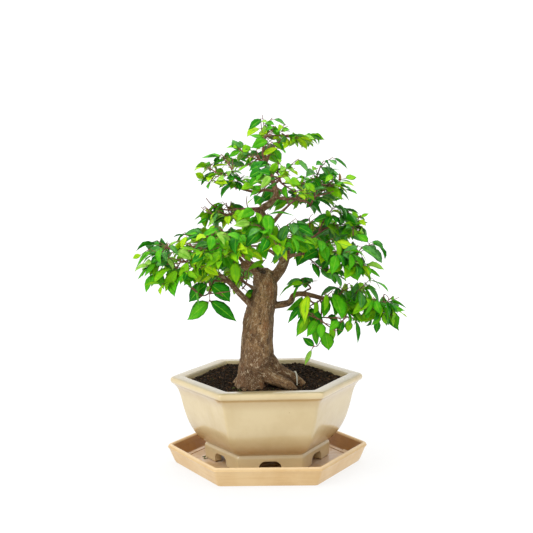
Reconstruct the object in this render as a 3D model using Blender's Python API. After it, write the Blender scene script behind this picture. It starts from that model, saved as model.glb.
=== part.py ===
"""A jaboticaba bonsai in a six-sided glazed pot that stands in a matching drip tray.

Metres, +Z up. The origin is the middle of the tray's flat underside, and the pot has a
corner on each side of the tree, at -X and +X, and a flat face at the front, at -Y.
"""

import math
import random

import bmesh
import bpy
from mathutils import Matrix, Vector
from mathutils.bvhtree import BVHTree

MM = 0.001
GAP = 0.3 * MM                     # left open between pieces that touch

# ---------------------------------------------------------------- pot, tray and soil
POT_CORNER = 140 * MM              # from the pot's axis to a corner of its rim
POT_TOP = 129 * MM                 # height of the rim above the table
POT_RIDGE = 31 * MM                # height of the ridge where the bowl meets its feet
POT_FLOOR = 45 * MM                # inner floor
RIDGE_CORNER = 92 * MM             # corner of the ridge
# corner and height, in mm, of the rings of the bowl: it bulges, and its wall hollows out again
# in a soft cove under the lip
BOWL = ((98.8, 38), (104.2, 45), (109.2, 53), (113.6, 61), (117.2, 69.5), (120.4, 79),
        (122.8, 89), (124.9, 99), (127.2, 107), (130.6, 113.5), (134.4, 117.6))
WALL_DROP = 30 * MM                # depth of the upper inner wall, and how far it leans in
WALL_LEAN = 4 * MM
FLOOR_BEND = 14 * MM               # height of the bend between inner wall and inner floor
RIM_WIDTH = 22 * MM                # of the flat top, measured at a corner
CORNER_ROUND = 5 * MM              # radius of the pot's upright edges
FOOT_ROUND = 3 * MM                # and of the edges of its feet
CORNER_STEPS = 2                   # arc steps on each upright edge
FOOT_WALL = 9 * MM
ARCH_WIDTH = 31 * MM               # of the opening between two feet, at its foot
ARCH_HEIGHT = 16 * MM

TRAY_CORNER = 146 * MM             # corner of the tray's lip
TRAY_BASE = 134.5 * MM             # corner of its flat underside
TRAY_ROUND = 4 * MM                # radius of its upright edges
TRAY_TOP = 28 * MM
TRAY_FLOOR = 7.5 * MM
TRAY_WALL = 7 * MM
TRAY_LEDGE = 9 * MM                # width of the step round the tray's inner floor
TRAY_TURN = math.radians(-2.5)     # the tray was set down slightly askew

SOIL_TOP = 119.2 * MM
SOIL_CLEAR = 2 * GAP               # sideways, at a corner, between the soil and the pot

# ---------------------------------------------------------------- trunk
GROUND = SOIL_TOP + GAP            # the flat cut under the trunk
TRUNK_SIDES = 20
# height, middle (x, y) and radius of the trunk, all in mm
TRUNK = (
    (110, -24, -34, 25.5),
    (119, -24, -34, 23.5),
    (130, -22, -32, 21.5),
    (146, -18, -28, 22.3),
    (165, -14, -23, 23.2),
    (182, -14, -19, 22.8),
    (198, -13, -16, 21.8),
    (212, -11.5, -14, 21.4),
    (226, -8.5, -12, 20.6),
    (240, -4.5, -11, 19.4),
    (255, -1, -10, 17.0),
    (268, -2, -9, 16.5),
    (279, -4, -8, 13.5),
    (285, -5, -8, 7.0),
)
FLUTES = ((3, 0.045, 40), (5, 0.035, 160), (7, 0.02, 250))   # lobes, depth, angle of the first
# where each root leaves the trunk, the legs it runs (length, heading, rise), both radii
ROOTS = (
    ((-10, -36, 142), ((23, -26, -24), (22, -20, -20), (14, -17, -40)), 13.5, 4),
    ((-4, -22, 158), ((25, -9, -43), (22, -6, -26), (22, -3, -34)), 14, 4.5),
    ((-24, -30, 140), ((18, -120, -48), (14, -112, -40)), 15, 9),
    ((-22, -26, 142), ((20, 150, -48), (16, 146, -38)), 13, 8),
    ((-16, -20, 146), ((24, 98, -42), (22, 110, -32)), 15, 7),
)

# ---------------------------------------------------------------- boughs
LEG_STEPS = 2                      # rings on each leg of a limb
BOUGH_SIDES = 7
# bough: its parent, where it leaves it (0 root, 1 tip), legs (length in mm, heading and
# rise in degrees), and its radius in mm at root and tip
BOUGHS = {
    "leader": ("trunk", 0.84, ((35, 10, 49), (23, 18, 74), (23, 165, 60), (25, 167, 59), (20, 174, 60),
                               (17, 4, 41), (15, 7, 55), (18, 166, 76), (22, 180, 67), (16, 195, 75)),
               8.6, 2.6),
    "bough_left_low": ("trunk", 0.61, ((14, 185, 12), (31, 203, 60), (27, 200, 48), (24, 192, 34)),
                       5.4, 2.8),
    "bough_left_hang": ("bough_left_low", 0.75, ((20, 221, 2),), 2.2, 1.5),
    "bough_left_back": ("trunk", 0.92, ((26, 164, 33), (15, 148, 40)), 5.6, 3.2),
    "bough_front_left": ("trunk", 0.93, ((34, 236, 35), (27, 237, 30)), 4.5, 2.4),
    "bough_right_low": ("trunk", 0.67, ((28, -1, 9), (10, -11, 9), (15, -26, 52), (16, -15, 6),
                                        (25, -10, -13), (20, -6, -4)), 5.5, 2.5),
    "bough_right_hang": ("bough_right_low", 0.79, ((14, -74, -26),), 2.2, 1.5),
    "bough_right_inner": ("bough_right_low", 0.56, ((9, 30, 50),), 1.8, 1.3),
    "bough_back_low": ("trunk", 0.76, ((36, 100, 8), (22, 112, 9)), 4.5, 2.6),
    "bough_right_mid_low": ("leader", 0.24, ((24, -52, 12), (18, -50, 9)), 3.2, 2.2),
    "bough_right_mid": ("leader", 0.30, ((18, -17, 15), (17, -15, 20)), 3.5, 2.5),
    "bough_centre_front": ("leader", 0.27, ((25, 255, 26), (20, 249, 22)), 3.0, 2.0),
    "bough_back_left": ("leader", 0.21, ((34, 113, 19), (29, 125, 10)), 3.6, 2.2),
    "bough_back_right": ("leader", 0.35, ((34, 64, -10), (28, 61, -8)), 3.4, 2.2),
    "bough_back_upper": ("leader", 0.47, ((33, 60, 28), (24, 54, 25)), 3.0, 1.9),
    "bough_left_mid": ("leader", 0.58, ((15, 201, 19), (14, 197, -4)), 3.2, 2.0),
    "bough_right_upper": ("leader", 0.72, ((14, -12, -6), (16, -7, 0), (16, -7, -15)), 2.6, 1.8),
    "bough_left_upper": ("leader", 0.76, ((14, 176, 6), (13, 171, -12), (15, 180, 12), (10, 180, 17)),
                         2.6, 1.8),
    "bough_centre_upper": ("leader", 0.81, ((17, -73, 12), (13, -80, 15)), 2.4, 1.7),
    "bough_back_top": ("leader", 0.89, ((15, 99, 20), (10, 95, 14)), 2.2, 1.6),
    "bough_top_right": ("leader", 0.955, ((22, -13, 66), (23, -3, 42)), 2.6, 1.6),
}

# ---------------------------------------------------------------- masses of foliage
LEAF_LENGTH = 47 * MM
LEAF_WIDTH = 23 * MM
LEAF_THICK = 1.0 * MM
LEAF_WIDEST = 0.40                 # where it is widest, along its length
LEAF_FOLD = 2.5 * MM               # how far the leaf's edges stand above its midrib
LEAF_NECK = 2 * MM                 # of the leaf at its root that may lie in its twig
LEAF_SPACING = 10 * MM             # between two pairs of leaves along a twig
PAIR_STAGGER = 4 * MM              # between the two leaves of a pair
TWIG_ROOT = 1.5 * MM               # radius where a twig leaves the stem
TWIG_TIP = 1.0 * MM                # and where it ends
STEM_FOOT = 6 * MM                 # of a mass's stem that runs on straight from its bough
STEM_STEP = 21 * MM                # between two side twigs
TWIG_STEP = 19 * MM                # between two bends of a twig
TWIG_BENDS = 2
TWIG_LIFTS = (42, -18, 8, 60, -30, 30)   # rise of the side twigs, in turn
TWIG_WANDER = 12                   # spread of a twig's turns, in degrees
TWIG_DROOP = (4, 18)               # how far it droops at each bend
TWIG_SPREAD = (40, 75)             # how far it stands off from the stem, either way
TWIG_LIMIT = 0.82                  # how much of its space a mass's twigs use
LEAF_LIMIT = 1.55                  # how far past it their leaves may hang
LEAF_TRIES = 14                    # ways a leaf is tried before its place stays empty
LEAF_COUNT = 31                    # most leaves on one mass
CLEAR = 1.0 * MM                   # kept between a leaf and another mass or a limb
TWIG_SHARE = 0.03                  # of its size that a mass's twigs keep back from its neighbours
LEAF_SHARE = -0.2                  # and that its leaves may lean over to them
SEED = 18
# mass on a bough: the middle of its space from the bough's tip (distance in mm, heading and
# rise in degrees), then half its length, width and height in mm
MASSES = {
    "leader": (30, 11, 80, 42, 38, 31),
    "bough_left_low": (49, 187, 20, 57, 50, 42),
    "bough_left_hang": (26, 231, -34, 40, 36, 31),
    "bough_left_back": (45, 167, 32, 52, 46, 28),
    "bough_front_left": (50, 226, 25, 50, 46, 31),
    "bough_right_low": (36, -2, -22, 56, 48, 46),
    "bough_right_hang": (28, 258, -42, 46, 40, 43),
    "bough_right_inner": (20, 262, 38, 30, 26, 17),
    "bough_back_low": (42, 125, 10, 44, 42, 28),
    "bough_right_mid_low": (47, -9, -7, 60, 46, 35),
    "bough_right_mid": (42, 10, 30, 48, 48, 36),
    "bough_centre_front": (41, 255, 20, 48, 52, 40),
    "bough_back_left": (59, 137, -2, 52, 52, 30),
    "bough_back_right": (58, 51, -1, 56, 52, 34),
    "bough_back_upper": (47, 56, 16, 48, 48, 38),
    "bough_left_mid": (31, 199, -16, 40, 42, 27),
    "bough_right_upper": (31, -6, 47, 44, 44, 42),
    "bough_left_upper": (26, 195, 51, 40, 44, 38),
    "bough_centre_upper": (30, -87, -8, 44, 46, 36),
    "bough_back_top": (32, 102, 17, 40, 40, 30),
    "bough_top_right": (19, -2, -3, 36, 34, 19),
}

# ---------------------------------------------------------------- tie on the right root
TIE_WIRE = 0.9 * MM
TIE_ROOT = 1                       # the root it goes over, and where along it
TIE_AT = 0.78
TIE_SLACK = 2.2 * MM               # between the root and the middle of the wire
TIE_STEPS = 10


# ================================================================ helpers
def clear_scene():
    """Start from an empty scene."""
    for obj in list(bpy.data.objects):
        bpy.data.objects.remove(obj, do_unlink=True)


def make_material(name, color, roughness, metallic=0.0, coat=0.0):
    """A Principled material."""
    material = bpy.data.materials.new(name)
    material.use_nodes = True
    shader = material.node_tree.nodes["Principled BSDF"]
    shader.inputs["Base Color"].default_value = (*color, 1)
    shader.inputs["Roughness"].default_value = roughness
    shader.inputs["Metallic"].default_value = metallic
    shader.inputs["Coat Weight"].default_value = coat
    return material


def add_object(name, bm, material=None, at=(0, 0, 0)):
    """Link a mesh as an object whose own origin is at the given place."""
    place = Vector(at)
    bm.normal_update()
    bmesh.ops.translate(bm, verts=bm.verts, vec=-place)
    mesh = bpy.data.meshes.new(name)
    bm.to_mesh(mesh)
    bm.free()
    obj = bpy.data.objects.new(name, mesh)
    obj.location = place
    bpy.context.scene.collection.objects.link(obj)
    if material:
        mesh.materials.append(material)
    return obj


def smooth_shade(obj, angle):
    """Shade smooth, with sharp edges past an angle in degrees."""
    obj.data.shade_smooth()
    obj.data.set_sharp_from_angle(angle=math.radians(angle))


def apply_modifiers(obj):
    """Bake an object's modifiers into its mesh."""
    bpy.context.view_layer.update()
    graph = bpy.context.evaluated_depsgraph_get()
    mesh = bpy.data.meshes.new_from_object(obj.evaluated_get(graph))
    obj.modifiers.clear()
    obj.data = mesh


def add_boolean(obj, operation, other=None, collection=None, solver="EXACT"):
    """A Boolean modifier with one object or with a collection."""
    modifier = obj.modifiers.new(operation.title(), "BOOLEAN")
    modifier.operation = operation
    modifier.solver = solver
    if collection:
        modifier.operand_type = "COLLECTION"
        modifier.collection = collection
    else:
        modifier.object = other
    return modifier


def join_by_union(obj, parts, solver="EXACT"):
    """Fuse loose closed pieces into an object with one Boolean union, then remove them."""
    group = bpy.data.collections.new(obj.name + "_parts")
    bpy.context.scene.collection.children.link(group)
    for part in parts:
        bpy.context.scene.collection.objects.unlink(part)
        group.objects.link(part)
    add_boolean(obj, "UNION", collection=group, solver=solver)
    apply_modifiers(obj)
    for part in list(group.objects):
        bpy.data.objects.remove(part, do_unlink=True)
    bpy.data.collections.remove(group)


def cut_away(obj, cutter):
    """Cut one piece by another with a Boolean, then remove the cutter."""
    add_boolean(obj, "DIFFERENCE", other=cutter)
    apply_modifiers(obj)
    bpy.data.objects.remove(cutter, do_unlink=True)


def loose_bodies(bm):
    """Lists of faces, one for each connected body of a mesh."""
    unseen = set(bm.faces)
    bodies = []
    while unseen:
        front = [unseen.pop()]
        body = []
        while front:
            face = front.pop()
            body.append(face)
            for edge in face.edges:
                for neighbour in edge.link_faces:
                    if neighbour in unseen:
                        unseen.discard(neighbour)
                        front.append(neighbour)
        bodies.append(body)
    return bodies


def body_volume(faces):
    """Signed volume inside a closed set of triangles."""
    total = 0.0
    for face in faces:
        a, b, c = (vert.co for vert in face.verts)
        total += a.dot(b.cross(c)) / 6
    return total


def keep_main_body(obj):
    """Fill sealed hollows and drop loose scraps, so that one closed body is left."""
    bm = bmesh.new()
    bm.from_mesh(obj.data)
    bmesh.ops.triangulate(bm, faces=bm.faces)
    bodies = sorted(loose_bodies(bm), key=body_volume, reverse=True)
    spare = [face for body in bodies[1:] for face in body]
    bmesh.ops.delete(bm, geom=spare, context="FACES")
    bm.to_mesh(obj.data)
    bm.free()


def inflated_copy(obj, amount):
    """A copy of an object whose surface stands off by the given amount."""
    bm = bmesh.new()
    bm.from_mesh(obj.data)
    bm.normal_update()
    moves = [vert.normal * vert.calc_shell_factor() * amount for vert in bm.verts]
    for vert, move in zip(bm.verts, moves):
        vert.co += move
    bmesh.ops.translate(bm, verts=bm.verts, vec=obj.location)
    return add_object(obj.name + "_cutter", bm)


def bridge(bm, rings, cap_start=True, cap_end=True):
    """Walls between successive rings of as many points each, with flat caps."""
    loops = [[bm.verts.new(point) for point in ring] for ring in rings]
    for low, high in zip(loops, loops[1:]):
        for i in range(len(low)):
            j = (i + 1) % len(low)
            bm.faces.new((low[i], low[j], high[j], high[i]))
    if cap_start:
        bm.faces.new(list(reversed(loops[0])))
    if cap_end:
        bm.faces.new(loops[-1])
    return loops


# ================================================================ pot, tray and soil
def hexagon(corner, height, rounding):
    """Ring of a six-sided outline with rounded corners, its first corner at +X."""
    # a rounded corner's arc centre lies on the corner's own radius
    centre = corner - rounding / math.cos(math.radians(30))
    ring = []
    for side in range(6):
        corner_angle = 60.0 * side
        for step in range(CORNER_STEPS + 1):
            turn = math.radians(corner_angle - 30 + 60 * step / CORNER_STEPS)
            x = centre * math.cos(math.radians(corner_angle)) + rounding * math.cos(turn)
            y = centre * math.sin(math.radians(corner_angle)) + rounding * math.sin(turn)
            ring.append(Vector((x, y, height)))
    return ring


def build_pot(material):
    """A six-sided bowl on six feet: it swells up to a cove and a rolled rim."""
    bm = bmesh.new()
    foot_bottom = TRAY_FLOOR + GAP
    rings = [
        hexagon(RIDGE_CORNER - 4 * MM - FOOT_WALL, POT_RIDGE - 3 * MM, FOOT_ROUND),
        hexagon(RIDGE_CORNER - 5 * MM - FOOT_WALL, foot_bottom, FOOT_ROUND),
        hexagon(RIDGE_CORNER - 5 * MM, foot_bottom, FOOT_ROUND),
        hexagon(RIDGE_CORNER - 3 * MM, POT_RIDGE - 4 * MM, FOOT_ROUND),
        hexagon(RIDGE_CORNER, POT_RIDGE, FOOT_ROUND),
    ]
    rings += [hexagon(corner * MM, height * MM, CORNER_ROUND) for corner, height in BOWL]
    rings += [
        hexagon(POT_CORNER - 1.2 * MM, POT_TOP - 8.8 * MM, CORNER_ROUND),
        hexagon(POT_CORNER, POT_TOP - 5 * MM, CORNER_ROUND),
        hexagon(POT_CORNER - 2 * MM, POT_TOP - 1.4 * MM, CORNER_ROUND),
        hexagon(POT_CORNER - 6 * MM, POT_TOP, CORNER_ROUND),
        hexagon(POT_CORNER - RIM_WIDTH + 3 * MM, POT_TOP - 0.4 * MM, CORNER_ROUND),
        hexagon(POT_CORNER - RIM_WIDTH, POT_TOP - 2.5 * MM, CORNER_ROUND),
        hexagon(POT_CORNER - RIM_WIDTH - WALL_LEAN, POT_TOP - WALL_DROP, CORNER_ROUND),
        hexagon(RIDGE_CORNER + 6 * MM, POT_FLOOR + FLOOR_BEND, CORNER_ROUND),
        hexagon(RIDGE_CORNER - 8 * MM, POT_FLOOR, CORNER_ROUND),
    ]
    bridge(bm, rings)
    pot = add_object("pot", bm, material)
    for turn in range(3):
        cut_away(pot, arch_cutter(30 + 60 * turn))
    keep_main_body(pot)
    smooth_shade(pot, 35)
    return pot


def arch_cutter(heading):
    """A bar, with the section of the arch between two feet, through two opposite faces."""
    half = ARCH_WIDTH / 2
    base = TRAY_FLOOR - 5 * MM
    crown = TRAY_FLOOR + ARCH_HEIGHT
    # one side of the arch, from its foot up: share of the half width, and height
    side = ((1.0, base), (0.98, TRAY_FLOOR + 6 * MM), (0.93, crown - 5 * MM),
            (0.82, crown - 2 * MM), (0.56, crown))
    section = [(half * share, height) for share, height in side]
    section += [(-y, height) for y, height in reversed(section)]
    bm = bmesh.new()
    rings = [[Vector((end * POT_CORNER, y, z)) for y, z in section] for end in (-1, 1)]
    bridge(bm, rings)
    turn = Matrix.Rotation(math.radians(heading), 3, "Z")
    bmesh.ops.rotate(bm, verts=bm.verts, cent=(0, 0, 0), matrix=turn)
    bmesh.ops.recalc_face_normals(bm, faces=bm.faces)
    return add_object("arch_cutter", bm)


def build_tray(material):
    """A shallow six-sided tray with flared walls, a rolled lip and a step inside."""
    bm = bmesh.new()
    inner = TRAY_BASE - TRAY_WALL
    rings = [
        hexagon(TRAY_BASE - 1.5 * MM, 0, TRAY_ROUND),
        hexagon(TRAY_BASE, 1.5 * MM, TRAY_ROUND),
        hexagon(TRAY_CORNER - 3.5 * MM, TRAY_TOP - 6 * MM, TRAY_ROUND),
        hexagon(TRAY_CORNER, TRAY_TOP - 4 * MM, TRAY_ROUND),
        hexagon(TRAY_CORNER - 0.8 * MM, TRAY_TOP - 1.2 * MM, TRAY_ROUND),
        hexagon(TRAY_CORNER - 3.5 * MM, TRAY_TOP, TRAY_ROUND),
        hexagon(TRAY_CORNER - TRAY_WALL, TRAY_TOP - 1.5 * MM, TRAY_ROUND),
        hexagon(inner, TRAY_FLOOR + 2 * MM, TRAY_ROUND),
        hexagon(inner - TRAY_LEDGE, TRAY_FLOOR + 1.5 * MM, TRAY_ROUND),
        hexagon(inner - TRAY_LEDGE - 1.5 * MM, TRAY_FLOOR, TRAY_ROUND),
    ]
    bridge(bm, rings)
    tray = add_object("tray", bm, material)
    tray.rotation_euler.z = TRAY_TURN
    smooth_shade(tray, 35)
    return tray


def build_soil(material):
    """The soil fills the pot up to a level top."""
    wall = POT_CORNER - RIM_WIDTH - WALL_LEAN
    # the wall leans out over all but the last of its height, where the rim rounds over
    wall_rise = (SOIL_TOP - (POT_TOP - WALL_DROP)) / (WALL_DROP - 2.5 * MM)
    bm = bmesh.new()
    rings = [
        hexagon(RIDGE_CORNER - 8 * MM - SOIL_CLEAR, POT_FLOOR + GAP, CORNER_ROUND),
        hexagon(RIDGE_CORNER + 6 * MM - SOIL_CLEAR, POT_FLOOR + FLOOR_BEND + GAP, CORNER_ROUND),
        hexagon(wall - SOIL_CLEAR, POT_TOP - WALL_DROP + GAP, CORNER_ROUND),
        hexagon(wall + WALL_LEAN * wall_rise - SOIL_CLEAR, SOIL_TOP, CORNER_ROUND),
    ]
    bridge(bm, rings)
    return add_object("soil", bm, material)


# ================================================================ limbs
def bearing(heading, rise):
    """Unit vector with a heading turned from +X and a rise above level, in degrees."""
    turn = math.radians(heading)
    climb = math.radians(rise)
    flat = math.cos(climb)
    return Vector((math.cos(turn) * flat, math.sin(turn) * flat, math.sin(climb)))


def run_legs(start, legs):
    """Ends of straight legs, each with a length in mm, a heading and a rise."""
    points = [Vector(start)]
    for length, heading, rise in legs:
        points.append(points[-1] + bearing(heading, rise) * length * MM)
    return points


def smooth_path(points, steps):
    """A curve through the points, with the given number of steps to each leg."""
    first = points[0] * 2 - points[1]
    last = points[-1] * 2 - points[-2]
    knots = [first, *points, last]
    path = [points[0]]
    for a, b, c, d in zip(knots, knots[1:], knots[2:], knots[3:]):
        for step in range(1, steps + 1):
            t = step / steps
            path.append(0.5 * (2 * b + (c - a) * t + (2 * a - 5 * b + 4 * c - d) * t ** 2
                               + (3 * b - a - 3 * c + d) * t ** 3))
    return path


def point_along(path, share):
    """The point at a share of a path's length."""
    lengths = [(b - a).length for a, b in zip(path, path[1:])]
    left = share * sum(lengths)
    for (a, b), length in zip(zip(path, path[1:]), lengths):
        if left <= length:
            return a.lerp(b, left / length)
        left -= length
    return path[-1].copy()


def tube_rings(path, radii, sides):
    """Rings round a path, turned as little as possible from one to the next."""
    rings = []
    across = None
    for i, point in enumerate(path):
        ahead = (path[min(i + 1, len(path) - 1)] - path[max(i - 1, 0)]).normalized()
        if across is None:
            across = ahead.orthogonal().normalized()
        across = (across - ahead * across.dot(ahead)).normalized()
        side = ahead.cross(across)
        ring = []
        for k in range(sides):
            turn = 2 * math.pi * k / sides
            ring.append(point + (across * math.cos(turn) + side * math.sin(turn)) * radii[i])
        rings.append(ring)
    return rings


def tube(path, radii, sides):
    """A closed tube with flat ends."""
    bm = bmesh.new()
    bridge(bm, tube_rings(path, radii, sides))
    return bm


def taper(first, last, count):
    """Radii that fall evenly from the first to the last."""
    return [first + (last - first) * i / (count - 1) for i in range(count)]


def build_trunk(material):
    """A fluted trunk that leans back as it rises, with roots that spread over the soil."""
    rings = []
    for height, x, y, radius in TRUNK:
        ring = []
        for k in range(TRUNK_SIDES):
            turn = 2 * math.pi * k / TRUNK_SIDES
            swell = 1 + sum(depth * math.cos(lobes * (turn - math.radians(first)))
                            for lobes, depth, first in FLUTES)
            reach = radius * swell
            ring.append(Vector((x + reach * math.cos(turn), y + reach * math.sin(turn), height)) * MM)
        rings.append(ring)
    bm = bmesh.new()
    bridge(bm, rings)
    trunk = add_object("trunk", bm, material)
    roots = []
    for number, (start, legs, thick, thin) in enumerate(ROOTS):
        path = smooth_path(run_legs(Vector(start) * MM, legs), LEG_STEPS)
        radii = taper(thick * MM, thin * MM, len(path))
        roots.append(add_object(f"root_{number}", tube(path, radii, 10)))
    join_by_union(trunk, roots)
    cut_away(trunk, ground_cutter())
    keep_main_body(trunk)
    smooth_shade(trunk, 60)
    centres = [Vector((x, y, height)) * MM for height, x, y, _ in TRUNK if height * MM > GROUND]
    return trunk, [Vector((TRUNK[1][1] * MM, TRUNK[1][2] * MM, GROUND)), *centres]


def ground_cutter():
    """A block whose top is the level cut under the trunk."""
    depth = 100 * MM
    bm = bmesh.new()
    bmesh.ops.create_cube(bm, size=1)
    bmesh.ops.scale(bm, verts=bm.verts, vec=(3 * POT_CORNER, 3 * POT_CORNER, depth))
    bmesh.ops.translate(bm, verts=bm.verts, vec=(0, 0, GROUND - depth / 2))
    return add_object("ground_cutter", bm)


def build_bough(name, parent, parent_path, material):
    """One tapering limb, cut off 0.3 mm clear of the limb that it leaves."""
    _, at, legs, thick, thin = BOUGHS[name]
    path = smooth_path(run_legs(point_along(parent_path, at), legs), LEG_STEPS)
    radii = taper(thick * MM, thin * MM, len(path))
    bough = add_object(name, tube(path, radii, BOUGH_SIDES), material, at=path[0])
    cut_away(bough, inflated_copy(parent, GAP))
    keep_main_body(bough)
    smooth_shade(bough, 60)
    return bough, path


# ================================================================ masses of foliage
class Space:
    """The ellipsoid that one mass keeps to, turned to point away from its bough."""

    def __init__(self, tip, distance, heading, rise, length, width, height):
        self.centre = tip + bearing(heading, rise) * distance * MM
        self.halves = Vector((length, width, height)) * MM
        self.heading = heading
        self.far = self.centre + bearing(heading, 0) * self.halves.x * 0.72

    def reach(self, point):
        """0 at the middle of the space and 1 at its edge."""
        local = Matrix.Rotation(math.radians(-self.heading), 3, "Z") @ (point - self.centre)
        return Vector(a / b for a, b in zip(local, self.halves)).length

    def holds(self, point, spaces, limit, share):
        """Whether a point lies in this space and in no neighbour's share of it."""
        own = self.reach(point)
        if own > limit:
            return False
        return all(own + share < other.reach(point) for other in spaces if other is not self)


def leaf_shape(root, ahead, face, length, width, thick):
    """Points and faces of a leaf: root, two edges, tip, and both sides of its midrib."""
    side = ahead.cross(face).normalized()
    up = side.cross(ahead)
    middle = root + ahead * length * LEAF_WIDEST
    edge = middle + up * LEAF_FOLD
    points = [root, edge - side * width / 2, root + ahead * length, edge + side * width / 2,
              middle + up * thick / 2, middle - up * thick / 2]
    faces = []
    for i in range(4):
        j = (i + 1) % 4
        faces.append((i, 4, j))
        faces.append((j, 5, i))
    return points, faces


def mesh_of(points, faces):
    """A loose closed piece with its faces turned out."""
    bm = bmesh.new()
    verts = [bm.verts.new(point) for point in points]
    for face in faces:
        bm.faces.new([verts[i] for i in face])
    bmesh.ops.recalc_face_normals(bm, faces=bm.faces)
    return bm


def tree_of(obj):
    """A search tree of an object's faces, in world coordinates."""
    points = [obj.matrix_world @ vert.co for vert in obj.data.vertices]
    return BVHTree.FromPolygons(points, [tuple(face.vertices) for face in obj.data.polygons])


def meets(points, faces, trees):
    """Whether a shape crosses any of the searched surfaces."""
    shape = BVHTree.FromPolygons(points, faces)
    return any(shape.overlap(tree) for tree in trees)


def tube_faces(path, radii):
    """Points and side faces of a slim six-sided tube."""
    rings = tube_rings(path, radii, 6)
    points = [point for ring in rings for point in ring]
    faces = [(6 * i + k, 6 * i + (k + 1) % 6, 6 * i + 6 + (k + 1) % 6, 6 * i + 6 + k)
             for i in range(len(rings) - 1) for k in range(6)]
    return points, faces


def grow_stem(space, tip, ahead):
    """Nodes of the stem: coaxial with its bough, then bent through the middle of the space."""
    start = tip + ahead * GAP
    straight = start + ahead * STEM_FOOT
    fine = smooth_path([start, straight, space.centre, space.far], 10)[10:]
    nodes = [start, straight]
    run = 0.0
    for a, b in zip(fine, fine[1:]):
        run += (b - a).length
        if run >= STEM_STEP:
            nodes.append(b)
            run = 0.0
    return nodes


def grow_twig(start, heading, rise, space, spaces, rng):
    """Bends of a twig that wanders out, and droops, until it would leave its space."""
    bends = [start]
    for _ in range(TWIG_BENDS):
        point = bends[-1] + bearing(heading, rise) * TWIG_STEP * rng.uniform(0.85, 1.1)
        if not space.holds(point, spaces, TWIG_LIMIT, TWIG_SHARE):
            break
        bends.append(point)
        heading += rng.gauss(0, TWIG_WANDER)
        rise -= rng.uniform(*TWIG_DROOP)
    return bends


def leaf_stand(root, along, side, rng):
    """Which way a leaf points and faces: forward, to its own side, and hanging outwards."""
    flat = Vector((along.x, along.y, 0)).normalized()
    across = Vector((-flat.y, flat.x, 0)) * side
    ahead = flat * rng.uniform(0.3, 0.8) + across * rng.uniform(0.6, 1.0)
    ahead.z -= rng.uniform(0.2, 1.1)
    outward = Vector((root.x, root.y, 0)).normalized()
    face = Vector((rng.uniform(-0.6, 0.6), rng.uniform(-0.6, 0.6), rng.uniform(0.3, 1.0)))
    return ahead.normalized(), face + outward * rng.uniform(0.2, 1.2)


def leaf_places(twig):
    """Roots of the leaves along a twig, each with the side it grows on."""
    length = sum((b - a).length for a, b in zip(twig, twig[1:]))
    places = [(length - 1.5 * MM, 0)]
    run = length - PAIR_STAGGER
    while run > LEAF_SPACING / 2:
        places.append((run, 1))
        places.append((run - PAIR_STAGGER, -1))
        run -= LEAF_SPACING
    return [(point_along(twig, run / length), side) for run, side in places]


def build_mass(name, space, spaces, tip, ahead, stem_radius, trees, material):
    """Stem, twigs and leaves of one mass, fused into a single body."""
    rng = random.Random(f"{SEED} {name}")
    stem = grow_stem(space, tip, ahead)
    stem_radii = taper(max(stem_radius, TWIG_ROOT), TWIG_TIP, len(stem))
    pieces = []
    twigs = []
    for number, (a, b) in enumerate(zip(stem[1:], stem[2:] + [stem[-1] * 2 - stem[-2]])):
        along = b - a
        heading = math.degrees(math.atan2(along.y, along.x))
        for side in (1, -1):
            rise = TWIG_LIFTS[(2 * number + (side < 0)) % len(TWIG_LIFTS)] + rng.uniform(-6, 6)
            turn = side * rng.uniform(*TWIG_SPREAD)
            foot = a - along.normalized() * PAIR_STAGGER * (1 + (side < 0))
            twig = grow_twig(foot, heading + turn, rise, space, spaces, rng)
            if len(twig) == 1:
                continue
            radii = taper(TWIG_ROOT, TWIG_TIP, len(twig))
            if not meets(*tube_faces(twig, [radius + CLEAR for radius in radii]), trees):
                twigs.append(twig)
                pieces.append(add_object("twig", tube(twig, radii, 3)))
    shoots = [*twigs, stem]
    shoot_trees = [BVHTree.FromPolygons(*tube_faces(shoot, [TWIG_TIP] * len(shoot)))
                   for shoot in shoots]
    places = [(side != 0, rng.random(), number, root, side)
              for number, shoot in enumerate([*twigs, stem[-3:]]) for root, side in leaf_places(shoot)]
    kept = []
    for _, _, number, root, side in sorted(places):
        if len(kept) == LEAF_COUNT:
            break
        along = shoots[number][-1] - shoots[number][-2]
        others = shoot_trees[:number] + shoot_trees[number + 1:]
        for _ in range(LEAF_TRIES):
            facing, face = leaf_stand(root, along, side, rng)
            length = LEAF_LENGTH * rng.uniform(0.8, 1.1)
            width = LEAF_WIDTH * length / LEAF_LENGTH
            points, faces = leaf_shape(root, facing, face, length, width, LEAF_THICK)
            if not all(space.holds(point, spaces, LEAF_LIMIT, LEAF_SHARE) for point in points[1:4]):
                continue
            wide = leaf_shape(root, facing, face, length + CLEAR, width + 2 * CLEAR, 2 * CLEAR)
            if meets(*wide, trees):
                continue
            outer = leaf_shape(root + facing * LEAF_NECK, facing, face, length - LEAF_NECK, width, MM)
            if meets(*outer, kept + others):
                continue
            kept.append(BVHTree.FromPolygons(*outer))
            pieces.append(add_object("leaf", mesh_of(points, faces)))
            break
    mass = add_object(name, tube(stem, stem_radii, 3), material, at=stem[0])
    join_by_union(mass, pieces)
    keep_main_body(mass)
    return mass


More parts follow.
